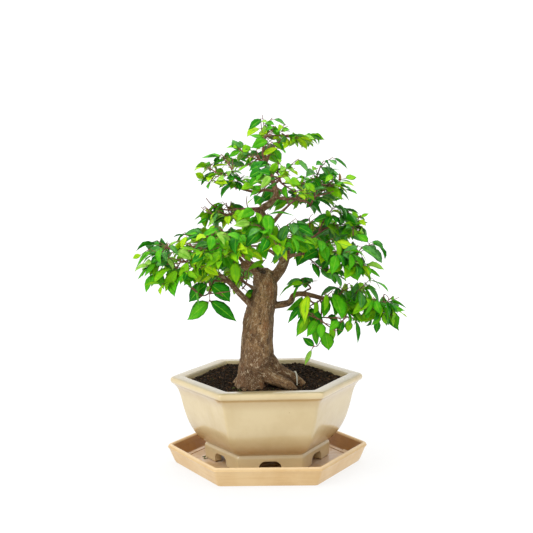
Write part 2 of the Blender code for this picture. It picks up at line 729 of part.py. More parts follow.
def build_tie(material):
    """A loop of pale wire over the right root: two upright legs and a half round."""
    start, legs, thick, thin = ROOTS[TIE_ROOT]
    path = smooth_path(run_legs(Vector(start) * MM, legs), LEG_STEPS)
    middle = point_along(path, TIE_AT)
    around = (thick + (thin - thick) * TIE_AT) * MM + TIE_SLACK
    run = path[-1] - path[0]
    across = run.cross(Vector((0, 0, 1))).normalized()
    steepness = run.length / Vector((run.x, run.y, 0)).length
    foot = Vector((middle.x, middle.y, GROUND))
    loop = [foot + across * around]
    for step in range(TIE_STEPS + 1):
        turn = math.pi * step / TIE_STEPS
        lift = Vector((0, 0, around * steepness * math.sin(turn)))
        loop.append(middle + across * around * math.cos(turn) + lift)
    loop.append(foot - across * around)
    return add_object("root_tie", tube(loop, [TIE_WIRE] * len(loop), 6), material, at=foot)


def main():
    clear_scene()
    glaze = make_material("glaze", (0.70, 0.55, 0.33), 0.22, coat=0.5)
    tray_glaze = make_material("tray_glaze", (0.72, 0.50, 0.27), 0.30, coat=0.3)
    earth = make_material("soil", (0.02, 0.014, 0.01), 0.95)
    bark = make_material("bark", (0.17, 0.11, 0.07), 0.85)
    leaf = make_material("leaf", (0.06, 0.26, 0.02), 0.35)
    tie = make_material("tie", (0.75, 0.75, 0.70), 0.5)

    build_tray(tray_glaze)
    build_pot(glaze)
    build_soil(earth)
    limbs = {}
    paths = {}
    limbs["trunk"], paths["trunk"] = build_trunk(bark)
    for name, (parent, *_) in BOUGHS.items():
        limbs[name], paths[name] = build_bough(name, limbs[parent], paths[parent], bark)
    bpy.context.view_layer.update()

    spaces = {bough: Space(paths[bough][-1], *row) for bough, row in MASSES.items()}
    trees = [tree_of(limb) for limb in limbs.values()]
    for bough, space in spaces.items():
        path = paths[bough]
        ahead = (path[-1] - path[-2]).normalized()
        stem_radius = BOUGHS[bough][4] * MM * 0.9
        name = bough.replace("bough_", "") + "_foliage"
        mass = build_mass(name, space, list(spaces.values()), path[-1], ahead, stem_radius, trees, leaf)
        bpy.context.view_layer.update()
        trees.append(tree_of(mass))
    build_tie(tie)


main()
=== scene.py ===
# %% [markdown]
# # A jaboticaba bonsai in a six-sided pot
# A small tree with a thick leaning trunk and tiers of drooping glossy leaves grows in a cream
# glazed pot, and the pot stands in a shallow peach-coloured drip tray. This lesson dresses the
# tree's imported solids: each piece below is modelled in the same metres and in the same place
# as the solid that it stands for.

# %% Load the frame that every piece is set against
import math
import random

import bmesh
import bpy
import numpy as np
from mathutils import Matrix, Vector, noise
from mathutils.bvhtree import BVHTree
from mathutils.kdtree import KDTree


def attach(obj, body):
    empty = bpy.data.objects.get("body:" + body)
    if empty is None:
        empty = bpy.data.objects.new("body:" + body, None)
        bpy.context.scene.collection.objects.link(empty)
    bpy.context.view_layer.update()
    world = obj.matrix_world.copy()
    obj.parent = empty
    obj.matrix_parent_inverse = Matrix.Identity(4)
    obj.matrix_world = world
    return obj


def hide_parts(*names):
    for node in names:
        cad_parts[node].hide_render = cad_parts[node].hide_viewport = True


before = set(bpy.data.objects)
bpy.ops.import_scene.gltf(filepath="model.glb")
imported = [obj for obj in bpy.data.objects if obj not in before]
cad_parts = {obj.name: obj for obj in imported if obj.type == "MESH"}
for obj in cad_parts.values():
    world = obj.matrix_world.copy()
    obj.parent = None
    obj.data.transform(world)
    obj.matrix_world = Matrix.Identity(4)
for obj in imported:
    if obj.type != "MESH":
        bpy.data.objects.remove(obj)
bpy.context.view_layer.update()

MM = 0.001

# %% [markdown]
# ## The camera
# The lens is a short telephoto, 75.8 mm on a 36 mm sensor, which keeps the pot's six sides from
# spreading. It stands 1.6 m away, a little above the rim, and looks slightly down, so that the
# soil and the tray's floor both show. It is turned by a track rotation and then rolled.
# The limbs, masses and single leaves further on are placed in this view: each place is
# a column, a row and a depth, and `seen_at` turns it into a point.

# %% Set up the camera
AIM = Vector((0.001, 0.0, 0.2862))        # what the camera looks at
DISTANCE = 1.6044
ELEVATION = math.radians(6.74)
AZIMUTH = math.radians(-2.78)
ROLL = math.radians(-0.48)
LENS = 75.83
SENSOR = 36
FRAME = 533                               # columns and rows of the view


def add_camera():
    """The scene's camera, aimed and rolled."""
    back = Vector((math.sin(AZIMUTH) * math.cos(ELEVATION),
                   -math.cos(AZIMUTH) * math.cos(ELEVATION),
                   math.sin(ELEVATION)))
    data = bpy.data.cameras.new("camera")
    data.sensor_width = SENSOR
    data.lens = LENS
    data.clip_start = 0.05
    data.clip_end = 50
    camera = bpy.data.objects.new("camera", data)
    turn = (-back).to_track_quat("-Z", "Y").to_matrix() @ Matrix.Rotation(ROLL, 3, "Z")
    camera.matrix_world = Matrix.Translation(AIM + back * DISTANCE) @ turn.to_4x4()
    bpy.context.scene.collection.objects.link(camera)
    bpy.context.scene.camera = camera
    return camera


def seen_at(column, row, depth):
    """The point seen at a column and row of the view, where it meets the plane y = depth mm."""
    middle = FRAME / 2
    focal = FRAME * LENS / SENSOR
    eye = camera.matrix_world.translation
    ray = camera.matrix_world.to_3x3() @ Vector(((column - middle) / focal, (middle - row) / focal, -1))
    return eye + ray * (depth / 1000 - eye.y) / ray.y


camera = add_camera()
bpy.context.scene.view_settings.view_transform = "Standard"
print("camera at", [round(x, 3) for x in camera.matrix_world.translation])

# %% [markdown]
# ## The light
# A white sky fills every side, and three large soft lamps give it a direction: one high at the
# front left that draws the leaves' upper sides, a weaker one at the right, and one overhead.
# Large lamps leave no hard shadow, as in a light tent.

# %% Light the scene
FOCUS = Vector((0, 0, 0.25))              # the middle of the tree, where the lamps point


def add_lamp(name, place, size, power):
    """A square soft lamp that points at the tree."""
    data = bpy.data.lights.new(name, "AREA")
    data.shape = "SQUARE"
    data.size = size
    data.energy = power
    lamp = bpy.data.objects.new(name, data)
    lamp.location = place
    lamp.rotation_euler = (FOCUS - Vector(place)).to_track_quat("-Z", "Y").to_euler()
    bpy.context.scene.collection.objects.link(lamp)
    return lamp


def add_sky(strength):
    """An even white world."""
    world = bpy.data.worlds.new("sky")
    world.use_nodes = True
    background = world.node_tree.nodes["Background"]
    background.inputs["Color"].default_value = (1, 1, 1, 1)
    background.inputs["Strength"].default_value = strength
    bpy.context.scene.world = world


add_sky(0.86)
lamps = [add_lamp("key", (-1.3, -1.0, 1.4), 0.9, 15),
         add_lamp("fill", (1.2, -1.3, 0.8), 1.0, 0.8),
         add_lamp("top", (0.1, 0.2, 1.7), 1.1, 13)]
print("lamps:", [(lamp.name, lamp.data.energy) for lamp in lamps])

# %% [markdown]
# ## Writing a material as sums
# A procedural finish is arithmetic on a few patterns. The class below wraps one socket of a
# node tree, so that an expression such as `1 - mask * 0.5` adds the Math nodes that work it
# out. Every other node comes from `Finish.node`, which sets its settings first and then fills
# its sockets with values or links.

# %% Sockets that can be added and multiplied
class Value:
    """A number or colour that flows out of a node."""

    def __init__(self, finish, socket):
        self.finish = finish
        self.socket = socket

    def math(self, operation, *others):
        return self.finish.node("ShaderNodeMath", {"operation": operation},
                                dict(enumerate((self, *others))))

    def __add__(self, other):
        return self.math("ADD", other)

    def __radd__(self, other):
        return self.math("ADD", other)

    def __sub__(self, other):
        return self.math("SUBTRACT", other)

    def __rsub__(self, other):
        return self.finish.node("ShaderNodeMath", {"operation": "SUBTRACT"}, {0: other, 1: self})

    def __mul__(self, other):
        return self.math("MULTIPLY", other)

    def __rmul__(self, other):
        return self.math("MULTIPLY", other)

    def __truediv__(self, other):
        return self.math("DIVIDE", other)

    def between(self, low, high):
        """0 below low, 1 above high, and a smooth step between."""
        return self.finish.node("ShaderNodeMapRange", {"interpolation_type": "SMOOTHSTEP"},
                                {0: self, 1: low, 2: high})


class Finish:
    """A material, its Principled shader and a way to add any node to it."""

    def __init__(self, name, **constants):
        self.material = bpy.data.materials.new(name)
        self.material.use_nodes = True
        self.tree = self.material.node_tree
        self.shader = self.tree.nodes["Principled BSDF"]
        for socket, value in constants.items():
            self.shader.inputs[socket.replace("_", " ")].default_value = value

    def node(self, kind, settings=None, sockets=None, out=0):
        """One node: its settings, then its sockets by name or number; returns one output."""
        node = self.tree.nodes.new(kind)
        for key, value in (settings or {}).items():
            if key == "stops":
                for number, (place, color) in enumerate(value):
                    ramp = node.color_ramp.elements
                    stop = ramp[number] if number < len(ramp) else ramp.new(place)
                    stop.position = place
                    stop.color = color
            else:
                setattr(node, key, value)
        for key, value in (sockets or {}).items():
            if isinstance(value, Value):
                self.tree.links.new(value.socket, node.inputs[key])
            else:
                node.inputs[key].default_value = value
        return Value(self, node.outputs[out])

    def place(self):
        """Where a point lies on the object, in metres."""
        return self.node("ShaderNodeTexCoord", out="Object")

    def parts(self, vector):
        """A vector's x, y and z."""
        split = self.node("ShaderNodeSeparateXYZ", sockets={0: vector})
        outputs = split.socket.node.outputs
        return [Value(self, outputs[axis]) for axis in range(3)]

    def stretch(self, vector, scale, shift=(0, 0, 0)):
        """A vector with its axes scaled and shifted."""
        return self.node("ShaderNodeMapping", sockets={"Vector": vector, "Scale": scale,
                                                       "Location": shift})

    def clouds(self, vector, scale, detail=3.0, rough=0.55, warp=0.0):
        """Soft noise between 0 and 1."""
        return self.node("ShaderNodeTexNoise", sockets={"Vector": vector, "Scale": scale,
                                                        "Detail": detail, "Roughness": rough,
                                                        "Distortion": warp})

    def cells(self, vector, scale, feature="F1"):
        """Distance to the nearest of many scattered points."""
        return self.node("ShaderNodeTexVoronoi", {"feature": feature},
                         {"Vector": vector, "Scale": scale}, out="Distance")

    def mix(self, first, second, share, blend="MIX"):
        """Two colours mixed by a share from 0 to 1."""
        return self.node("ShaderNodeMix", {"data_type": "RGBA", "blend_type": blend},
                         {0: share, 6: first, 7: second}, out=2)

    def use(self, **links):
        """Feed the shader's own sockets."""
        for socket, value in links.items():
            self.tree.links.new(value.socket, self.shader.inputs[socket.replace("_", " ")])
        return self

    def bump(self, height, distance, strength=1.0, under=None):
        """A surface normal from a height pattern, laid over another if one is given."""
        sockets = {"Height": height, "Distance": distance, "Strength": strength}
        if under:
            sockets["Normal"] = under
        return self.node("ShaderNodeBump", sockets=sockets)


def tint(red, green, blue):
    """A screen colour, 0 to 255, as the linear colour that a shader wants."""
    return (*(pow((part / 255 + 0.055) / 1.055, 2.4) if part > 10 else part / 255 / 12.92
              for part in (red, green, blue)), 1)


print("a mid green is", [round(x, 3) for x in tint(60, 160, 10)])

# %% [markdown]
# ## The floor
# The tree stands on a plain white sheet that sweeps up to a wall far behind it. The sheet glows
# a little, as paper on a light table does, and more the further away it is, so that a trace of
# shadow shows where the tray stands and nothing at all behind the tree.

# %% Lay the floor and its sweep
SHEET_HALF = 6.0                          # half the sheet's width and depth
SWEEP = 1.5                               # radius of its turn up to the wall
WALL_TOP = 5.0


def add_floor():
    """A wide white sheet: floor, quarter turn and wall, as one bent grid."""
    bm = bmesh.new()
    bmesh.ops.create_grid(bm, x_segments=4, y_segments=96, size=SHEET_HALF)
    bend = SHEET_HALF - SWEEP             # where the floor starts to turn up
    for vert in bm.verts:
        past = (vert.co.y - bend) * (math.pi / 2 * SWEEP + WALL_TOP - SWEEP) / SWEEP
        if past > 0:
            turn = min(past / SWEEP, math.pi / 2)
            vert.co.y = bend + SWEEP * math.sin(turn)
            vert.co.z = SWEEP * (1 - math.cos(turn)) + max(0.0, past - SWEEP * math.pi / 2)
    mesh = bpy.data.meshes.new("floor")
    bm.to_mesh(mesh)
    bm.free()
    mesh.shade_smooth()
    floor = bpy.data.objects.new("floor", mesh)
    bpy.context.scene.collection.objects.link(floor)
    paper = Finish("floor_paper", Roughness=0.9, Specular_IOR_Level=0.1, Emission_Strength=1.0)
    place = paper.place()
    grain = paper.clouds(place, 40)
    far = paper.node("ShaderNodeVectorMath", {"operation": "LENGTH"}, {0: place}, out="Value")
    glow = paper.mix((0.78, 0.78, 0.78, 1), (0.95, 0.95, 0.95, 1), far.between(0.3, 1.4))
    paper.use(Base_Color=paper.mix(tint(120, 120, 119), tint(124, 124, 124), grain),
              Emission_Color=glow)
    mesh.materials.append(paper.material)
    return floor


floor = add_floor()
print("floor:", len(floor.data.polygons), "faces")

# %% [markdown]
# ## The pot's glaze
# The pot has a thick cream glaze, a darker cream on the top of the rim. It is painted
# browner in the undercut below the lip, in the cove under it, round the ridge above the feet
# and towards the foot: partly glaze that pools there and partly painted shade.
# The gloss is a clear coat over a slightly rough body, so the bowl mirrors the tray below it.

# %% Glaze for the pot and for the tray
def pot_glaze():
    """Cream glaze, browner where it pools and where shade is painted in."""
    glaze = Finish("pot_glaze", Coat_Weight=0.7, Coat_Roughness=0.07, Coat_IOR=1.5)
    place = glaze.place()
    height = glaze.parts(place)[2]
    cloud = glaze.clouds(place, 22, detail=4)
    fine = glaze.clouds(place, 160, detail=2)
    cream = glaze.mix(tint(217, 197, 152), tint(208, 186, 139), cloud.between(0.35, 0.7))
    # painted shade, partly pooled glaze: browner in the undercut, the cove, the waist above the ridge and
    # the low bowl
    crease = height.between(0.1150, 0.1180) * (1 - height.between(0.1190, 0.1206))
    cove = height.between(0.100, 0.114) * (1 - height.between(0.1190, 0.1210))
    bowl = height.between(0.0310, 0.0335)
    waist_pool_and_shade = (1 - height.between(0.034, 0.050)) * bowl
    low = (1 - height.between(0.040, 0.075)) * bowl
    pooled_glaze_and_shade = (crease * 0.45 + cove * 0.3 + waist_pool_and_shade * 0.4 + low * 0.4) * (0.8 + fine * 0.4)
    toned = glaze.mix(cream, tint(176, 138, 82), pooled_glaze_and_shade)
    rim = height.between(0.1265, 0.1290)
    toned = glaze.mix(toned, tint(180, 162, 121), rim * 0.9)
    specks = 1 - glaze.cells(place, 90).between(0.03, 0.055)
    rare = glaze.clouds(place, 31, detail=0).between(0.72, 0.76)
    color = glaze.mix(toned, tint(160, 120, 75), specks * rare)
    waves = glaze.clouds(place, 45, detail=2)
    normal = glaze.bump(waves, 0.0009, under=glaze.bump(fine, 0.00012))
    return glaze.use(Base_Color=color, Roughness=0.26 + fine * 0.12, Normal=normal).material


def tray_glaze(name, first, second, third, bloom=0.0):
    """Peach glaze, drier than the pot's, with a share of pale mineral bloom."""
    glaze = Finish(name, Coat_Weight=0.35, Coat_Roughness=0.16, Coat_IOR=1.45)
    place = glaze.place()
    height = glaze.parts(place)[2]
    cloud = glaze.clouds(place, 18, detail=4)
    streaks = glaze.clouds(glaze.stretch(place, (20, 20, 320)), 1.0, detail=3)
    peach = glaze.mix(tint(*first), tint(*second), cloud.between(0.35, 0.7))
    peach = glaze.mix(peach, tint(*third), streaks.between(0.45, 0.75) * 0.35)
    # paler along the top of the lip: partly glaze that breaks thin over the edge and partly a painted
    # highlight
    lip = height.between(0.0245, 0.0275)
    peach = glaze.mix(peach, tint(240, 214, 172), lip * 0.55)
    patches = glaze.clouds(place, 30, detail=5, warp=0.6).between(0.42, 0.66)
    color = glaze.mix(peach, tint(236, 218, 200), patches * bloom)
    normal = glaze.bump(glaze.clouds(place, 60, detail=2), 0.0008,
                        under=glaze.bump(streaks, 0.0002))
    return glaze.use(Base_Color=color, Roughness=0.38 + cloud * 0.2, Normal=normal).material


POT_GLAZE = pot_glaze()
TRAY_GLAZE = tray_glaze("tray_glaze", (223, 190, 137), (212, 174, 117), (201, 159, 103))
# the inner walls' brown: partly a deeper glaze and partly painted shade from the pot above
TRAY_INSIDE_SHADED = tray_glaze("tray_inside_shaded", (166, 116, 52), (150, 100, 42), (132, 87, 36))
TRAY_BED = tray_glaze("tray_bed", (220, 186, 140), (206, 168, 120), (196, 154, 108), bloom=0.6)
print("glazes:", POT_GLAZE.name, TRAY_GLAZE.name, TRAY_INSIDE_SHADED.name, TRAY_BED.name)

# %% [markdown]
# ## Six-sided pottery
# A potter throws or casts such a pot in one outline. So does the code: the outline, from the
# middle of the floor over the rim to the middle of the underside, is drawn once as a wire of
# points through one corner, and a spin of six steps sweeps it into six flat sides. A bevel
# then rounds the upright edges. Long edges are subdivided and moved by a fraction of a
# millimetre of slow noise, because no fired pot is perfectly flat. A sweep or a cut may list
# its faces in another order on each run, and the next step then rounds its numbers another
# way, so the mesh is put in a fixed order before and after it is cut.

# %% Sweep an outline into a six-sided vessel
def meridians(bm, least):
    """The edges that run up the six corners, further from the axis than a least distance."""
    found = []
    for edge in bm.edges:
        a, b = (vert.co for vert in edge.verts)
        ra, rb = math.hypot(a.x, a.y), math.hypot(b.x, b.y)
        if min(ra, rb) < least:
            continue
        if abs(a.x * b.y - a.y * b.x) < 1e-6 * ra * rb + 1e-12:
            found.append(edge)
    return found


def six_sided(outline, rounding, least, segments=4):
    """A closed six-sided vessel from an outline of (corner radius, height) points."""
    bm = bmesh.new()
    verts = [bm.verts.new((radius, 0, height)) for radius, height in outline]
    edges = [bm.edges.new(pair) for pair in zip(verts, verts[1:])]
    bmesh.ops.spin(bm, geom=[*verts, *edges], cent=(0, 0, 0), axis=(0, 0, 1), dvec=(0, 0, 0),
                   angle=2 * math.pi, steps=6, use_merge=True)
    bmesh.ops.remove_doubles(bm, verts=bm.verts, dist=1e-5)
    bmesh.ops.bevel(bm, geom=meridians(bm, least), offset=rounding, offset_type="OFFSET",
                    segments=segments, profile=0.5, affect="EDGES", material=-1)
    bmesh.ops.remove_doubles(bm, verts=bm.verts, dist=1e-5)
    bmesh.ops.recalc_face_normals(bm, faces=bm.faces)
    return bm


def arc(centre, radius, first, last, steps):
    """Points of an outline's rounded corner, angles in degrees from the outward direction."""
    points = []
    for step in range(steps + 1):
        turn = math.radians(first + (last - first) * step / steps)
        points.append((centre[0] + radius * math.cos(turn), centre[1] + radius * math.sin(turn)))
    return points


def in_order(bm):
    """The same mesh with its points and faces in a fixed order, whichever order a cut left."""
    verts = sorted(bm.verts, key=lambda vert: tuple(vert.co))
    number = {vert: i for i, vert in enumerate(verts)}
    rings = []
    for face in bm.faces:
        ring = [number[vert] for vert in face.verts]
        first = ring.index(min(ring))
        rings.append(tuple(ring[first:] + ring[:first]))
    ordered = bmesh.new()
    points = [ordered.verts.new(vert.co) for vert in verts]
    for ring in sorted(rings):
        ordered.faces.new([points[i] for i in ring])
    bm.free()
    return ordered


def divide_long(bm, length, cuts):
    """Cut up the edges that are longer than a length, the same way on every run."""
    ordered = in_order(bm)
    long = [edge for edge in ordered.edges if edge.calc_length() > length]
    bmesh.ops.subdivide_edges(ordered, edges=long, cuts=cuts, use_grid_fill=True)
    return in_order(ordered)


HAND_SEED = 5                             # noise_vector takes its offsets from the clock without one


def hand_made(bm, amount, scale):
    """Move a mesh's points by slow noise, as a fired pot is never perfectly true."""
    noise.seed_set(HAND_SEED)
    for vert in bm.verts:
        vert.co += noise.noise_vector(vert.co * scale) * amount


def add_piece(name, bm, materials, nodes=(), smooth=35):
    """Link a finished mesh as a piece of the tree, riding on its one body."""
    mesh = bpy.data.meshes.new(name)
    bm.to_mesh(mesh)
    bm.free()
    piece = bpy.data.objects.new(name, mesh)
    bpy.context.scene.collection.objects.link(piece)
    for material in materials:
        mesh.materials.append(material)
    if smooth:
        mesh.shade_smooth()
        mesh.set_sharp_from_angle(angle=math.radians(smooth))
    return settle(piece, nodes)


def settle(piece, nodes=()):
    """Put a piece on the tree's body and the solids it stands for."""
    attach(piece, "root")
    if nodes:
        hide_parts(*nodes)
    return piece


def bake_modifiers(piece):
    """Put the result of a piece's modifiers into its mesh."""
    bpy.context.view_layer.update()
    graph = bpy.context.evaluated_depsgraph_get()
    mesh = bpy.data.meshes.new_from_object(piece.evaluated_get(graph))
    piece.modifiers.clear()
    old = piece.data
    piece.data = mesh
    bpy.data.meshes.remove(old)


# %% [markdown]
# ## The pot
# The outline goes from the inner floor up the inner wall, over a rolled rim, down a soft cove
# under it, round the bulging bowl to a ridge, and in to a foot band. Arches
# between the feet are cut with three bars that run right through, one for each pair of
# opposite sides, and their edges are softened by a small bevel as thick glaze would.

# %% Shape the pot
POT_CORNER = 140 * MM
POT_TOP = 129 * MM
POT_RIDGE = 31 * MM
TRAY_FLOOR = 7.5 * MM
FOOT_BOTTOM = TRAY_FLOOR + 0.3 * MM
# corner and height, in mm, of the bowl's side: out of the crease under the rim, down the cove
# and round the bulge to the ridge
BOWL = ((137.4, 119.7), (135.9, 119.1), (134.9, 118.1), (133.0, 116.0), (131.0, 113.5), (129.2, 110.5),
        (127.7, 107), (126.3, 103), (125.1, 98.5), (124.0, 94), (122.8, 89), (121.3, 83), (119.4, 76.5),
        (117.0, 69), (114.0, 61.5), (110.3, 54), (106.2, 47.3), (101.8, 41.5), (97.0, 36.6), (93.0, 33.6),
        (90.4, 32.2), (89.6, 31.2), (90.6, 30.0), (91.6, 28.4), (91.9, 26.0), (91.6, 20.0), (91.2, 15.0))


def pot_outline():
    """The pot's outline through one corner, as (radius, height)."""
    points = [(0, 45 * MM), (70 * MM, 45 * MM), (84 * MM, 46 * MM), (92 * MM, 51 * MM),
              (98 * MM, 59 * MM), (107 * MM, 80 * MM), (114 * MM, 97.5 * MM),
              (117 * MM, 118 * MM), (118 * MM, POT_TOP - 3 * MM)]
    points += arc((120.6 * MM, POT_TOP - 2.6 * MM), 2.4 * MM, 165, 95, 4)
    points += [(128 * MM, POT_TOP)]
    points += arc((135 * MM, POT_TOP - 5 * MM), 5 * MM, 85, -50, 9)
    points += [(corner * MM, height * MM) for corner, height in BOWL]
    points += arc((87.4 * MM, FOOT_BOTTOM + 3.6 * MM), 3.6 * MM, 0, -90, 5)
    points += arc((80.6 * MM, FOOT_BOTTOM + 1.8 * MM), 1.8 * MM, 270, 180, 2)
    points += [(79 * MM, POT_RIDGE - 5 * MM), (75 * MM, POT_RIDGE - 3 * MM), (0, POT_RIDGE - 3 * MM)]
    return points


def arch_bar(heading):
    """A bar with the section of the low arch between two feet."""
    half = 15.5 * MM
    crown = TRAY_FLOOR + 15.8 * MM
    side = [(1.30, TRAY_FLOOR - 3 * MM), (1.26, TRAY_FLOOR + 0.5 * MM), (1.12, TRAY_FLOOR + 1.5 * MM),
            (1.03, TRAY_FLOOR + 3.2 * MM), (1.0, TRAY_FLOOR + 6 * MM), (0.99, crown - 6.4 * MM),
            (0.93, crown - 4.6 * MM), (0.82, crown - 2.8 * MM), (0.71, crown - 1.3 * MM),
            (0.59, crown - 0.4 * MM), (0.42, crown)]
    section = [(half * share, height) for share, height in side]
    section += [(-y, height) for y, height in reversed(section)]
    bm = bmesh.new()
    ring = [bm.verts.new((-POT_CORNER, y, height)) for y, height in section]
    end = bm.faces.new(ring)
    moved = bmesh.ops.extrude_face_region(bm, geom=[end])["geom"]
    bmesh.ops.translate(bm, verts=[part for part in moved if isinstance(part, bmesh.types.BMVert)],
                        vec=(2 * POT_CORNER, 0, 0))
    bmesh.ops.rotate(bm, verts=bm.verts, cent=(0, 0, 0),
                     matrix=Matrix.Rotation(math.radians(heading), 3, "Z"))
    bmesh.ops.recalc_face_normals(bm, faces=bm.faces)
    mesh = bpy.data.meshes.new("arch_bar")
    bm.to_mesh(mesh)
    bm.free()
    bar = bpy.data.objects.new("arch_bar", mesh)
    bpy.context.scene.collection.objects.link(bar)
    return bar


def make_pot():
    """The pot, with its arches cut and softened."""
    bm = six_sided(pot_outline(), 3.4 * MM, 60 * MM, segments=5)
    bm = divide_long(bm, 40 * MM, 9)
    hand_made(bm, 0.45 * MM, 14)
    pot = add_piece("bonsai_pot", bm, [POT_GLAZE], ["pot"], smooth=None)
    for number in range(3):
        bar = arch_bar(30 + 60 * number)
        cut = pot.modifiers.new("arch", "BOOLEAN")
        cut.operation = "DIFFERENCE"
        cut.solver = "EXACT"
        cut.object = bar
        bake_modifiers(pot)
        bpy.data.objects.remove(bar, do_unlink=True)
    soften = pot.modifiers.new("soften", "BEVEL")
    soften.width = 0.9 * MM
    soften.segments = 2
    soften.limit_method = "ANGLE"
    soften.angle_limit = math.radians(48)
    bake_modifiers(pot)
    softened = bmesh.new()
    softened.from_mesh(pot.data)
    ordered = in_order(softened)
    ordered.to_mesh(pot.data)
    ordered.free()
    pot.data.shade_smooth()
    pot.data.set_sharp_from_angle(angle=math.radians(50))
    return pot


pot = make_pot()
print("pot:", len(pot.data.polygons), "faces")

# %% [markdown]
# ## The drip tray
# The tray is swept the same way, lower and wider, with flared walls, a rolled lip and a low
# step round its floor. It was set down slightly askew under the pot.

# %% Shape the tray
TRAY_CORNER = 146 * MM
TRAY_BASE = 134.5 * MM
TRAY_TOP = 28 * MM
TRAY_TURN = math.radians(-2.5)


def tray_outline():
    """The tray's outline through one corner, as (radius, height)."""
    inner = TRAY_BASE - 7 * MM
    points = [(0, TRAY_FLOOR), (60 * MM, TRAY_FLOOR), (inner - 11 * MM, TRAY_FLOOR),
              (inner - 9.6 * MM, TRAY_FLOOR + 0.4 * MM), (inner - 9 * MM, TRAY_FLOOR + 1.3 * MM),
              (inner - 7.6 * MM, TRAY_FLOOR + 1.7 * MM), (inner - 2.6 * MM, TRAY_FLOOR + 1.9 * MM),
              (inner - 0.4 * MM, TRAY_FLOOR + 3.0 * MM), (inner + 4.5 * MM, TRAY_TOP - 6.5 * MM),
              (TRAY_CORNER - 7.4 * MM, TRAY_TOP - 2.6 * MM)]
    points += arc((TRAY_CORNER - 4.3 * MM, TRAY_TOP - 3.1 * MM), 3.1 * MM, 150, 0, 7)
    points += [(TRAY_CORNER - 0.2 * MM, TRAY_TOP - 4.6 * MM), (TRAY_CORNER - 1.6 * MM, TRAY_TOP - 6.2 * MM),
               (TRAY_CORNER - 3.3 * MM, TRAY_TOP - 8.5 * MM), (TRAY_CORNER - 5.2 * MM, TRAY_TOP - 13 * MM),
               (TRAY_BASE + 1.6 * MM, 4 * MM)]
    points += arc((TRAY_BASE - 1.6 * MM, 1.6 * MM), 1.6 * MM, 0, -90, 3)
    points += [(0, 0)]
    return points


def make_tray():
    """The drip tray, turned a little."""
    bm = six_sided(tray_outline(), 3.0 * MM, 90 * MM, segments=4)
    bm = divide_long(bm, 40 * MM, 9)
    hand_made(bm, 0.35 * MM, 12)
    low = min(vert.co.z for vert in bm.verts)
    for vert in bm.verts:
        if vert.co.z < 1.0 * MM:
            vert.co.z = max(0.0, vert.co.z - low)
    bmesh.ops.rotate(bm, verts=bm.verts, cent=(0, 0, 0), matrix=Matrix.Rotation(TRAY_TURN, 3, "Z"))
    bm.normal_update()
    for face in bm.faces:
        middle = face.calc_center_median()
        inward = face.normal.dot(Vector((-middle.x, -middle.y, 0)).normalized())
        # the inner walls take the darker brown, which is partly painted shade
        if inward > 0.5 and middle.z < TRAY_TOP - 3.4 * MM:
            face.material_index = 1
        elif face.normal.z > 0.5 and middle.z < TRAY_FLOOR + 4 * MM:
            face.material_index = 2
    return add_piece("drip_tray", bm, [TRAY_GLAZE, TRAY_INSIDE_SHADED, TRAY_BED], ["tray"],
                     smooth=50)


tray = make_tray()
print("tray:", len(tray.data.polygons), "faces")

# %% [markdown]
# ## The bark
# Jaboticaba bark is smooth and thin, and peels off in flakes: grey-beige where it is old,
# rusty where it has just peeled, with dark grain between the flakes. The flakes follow the limb,
# so each point of the wood carries a `grain` attribute: its place across the limb and a
# shortened place along it. Noise read on that attribute stretches along every limb by itself.
# Another attribute, from the relief, paints shade near black into what lies deep and into the knot hole.

# %% Bark finish
def bark_finish():
    """Brown flaking bark that follows the limbs."""
    bark = Finish("bark")
    grain = bark.node("ShaderNodeAttribute", {"attribute_name": "grain"}, out="Vector")
    hollow_shade = bark.node("ShaderNodeAttribute", {"attribute_name": "hollow_shade"}, out="Fac")
    twiggy = bark.node("ShaderNodeAttribute", {"attribute_name": "slender"}, out="Fac")
    broad = bark.clouds(grain, 70, detail=4, rough=0.6, warp=0.4)
    flakes = bark.clouds(grain, 300, detail=5, rough=0.7, warp=0.8)
    fine = bark.clouds(grain, 900, detail=3)
    color = bark.mix(tint(108, 76, 42), tint(158, 122, 80), broad.between(0.38, 0.62))
    color = bark.mix(color, tint(142, 92, 50), bark.clouds(grain, 48, detail=3).between(0.5, 0.64) * 0.6)
    color = bark.mix(color, tint(78, 50, 24), bark.clouds(grain, 35, detail=3).between(0.46, 0.60) * 0.6)
    color = bark.mix(color, tint(214, 194, 160), flakes.between(0.54, 0.66) * 0.75)
    color = bark.mix(color, tint(62, 40, 20), (1 - flakes.between(0.36, 0.48)) * 0.85)
    color = bark.mix(color, tint(120, 80, 54), twiggy * 0.6)
    # painted shade: near black where the relief lies deep and in the knot hole
    color = bark.mix(color, tint(36, 22, 11), hollow_shade.between(0.25, 1.0) * 0.85)
    color = bark.mix(color, tint(228, 212, 184), fine.between(0.58, 0.70) * 0.4)
    coarse = bark.bump(flakes, 0.0016)
    normal = bark.bump(fine, 0.0005, under=coarse)
    return bark.use(Base_Color=color, Roughness=0.72 + fine * 0.2, Normal=normal).material


BARK = bark_finish()
print("bark:", len(BARK.node_tree.nodes), "nodes")

# %% [markdown]
# ## Where the limbs run
# The trunk is a table of stations, each with a height, a middle and a radius. Every bough
# leaves its parent at a share of the parent's length and runs through a few given places,
# drawn through with a smooth curve, which keeps it within a few millimetres of its solid.
# The leaves grow from the ends of the same limbs.

# %% Measures of the trunk, roots and boughs
GROUND = 119.5 * MM
TRUNK = (
    (110, -24, -34, 25.5), (119, -24, -34, 23.5), (130, -22, -32, 21.5), (146, -18, -28, 22.3),
    (165, -14, -23, 23.2), (182, -14, -19, 22.8), (198, -13, -16, 21.8), (212, -11.5, -14, 21.4),
    (226, -8.5, -12, 20.6), (240, -4.5, -11, 19.4), (255, -1, -10, 17.0), (268, -2, -9, 16.5),
    (279, -4, -8, 13.5), (285, -5, -8, 7.0),
)
FLUTES = ((3, 0.045, 40), (5, 0.035, 160), (7, 0.02, 250))   # lobes, depth, angle of the first
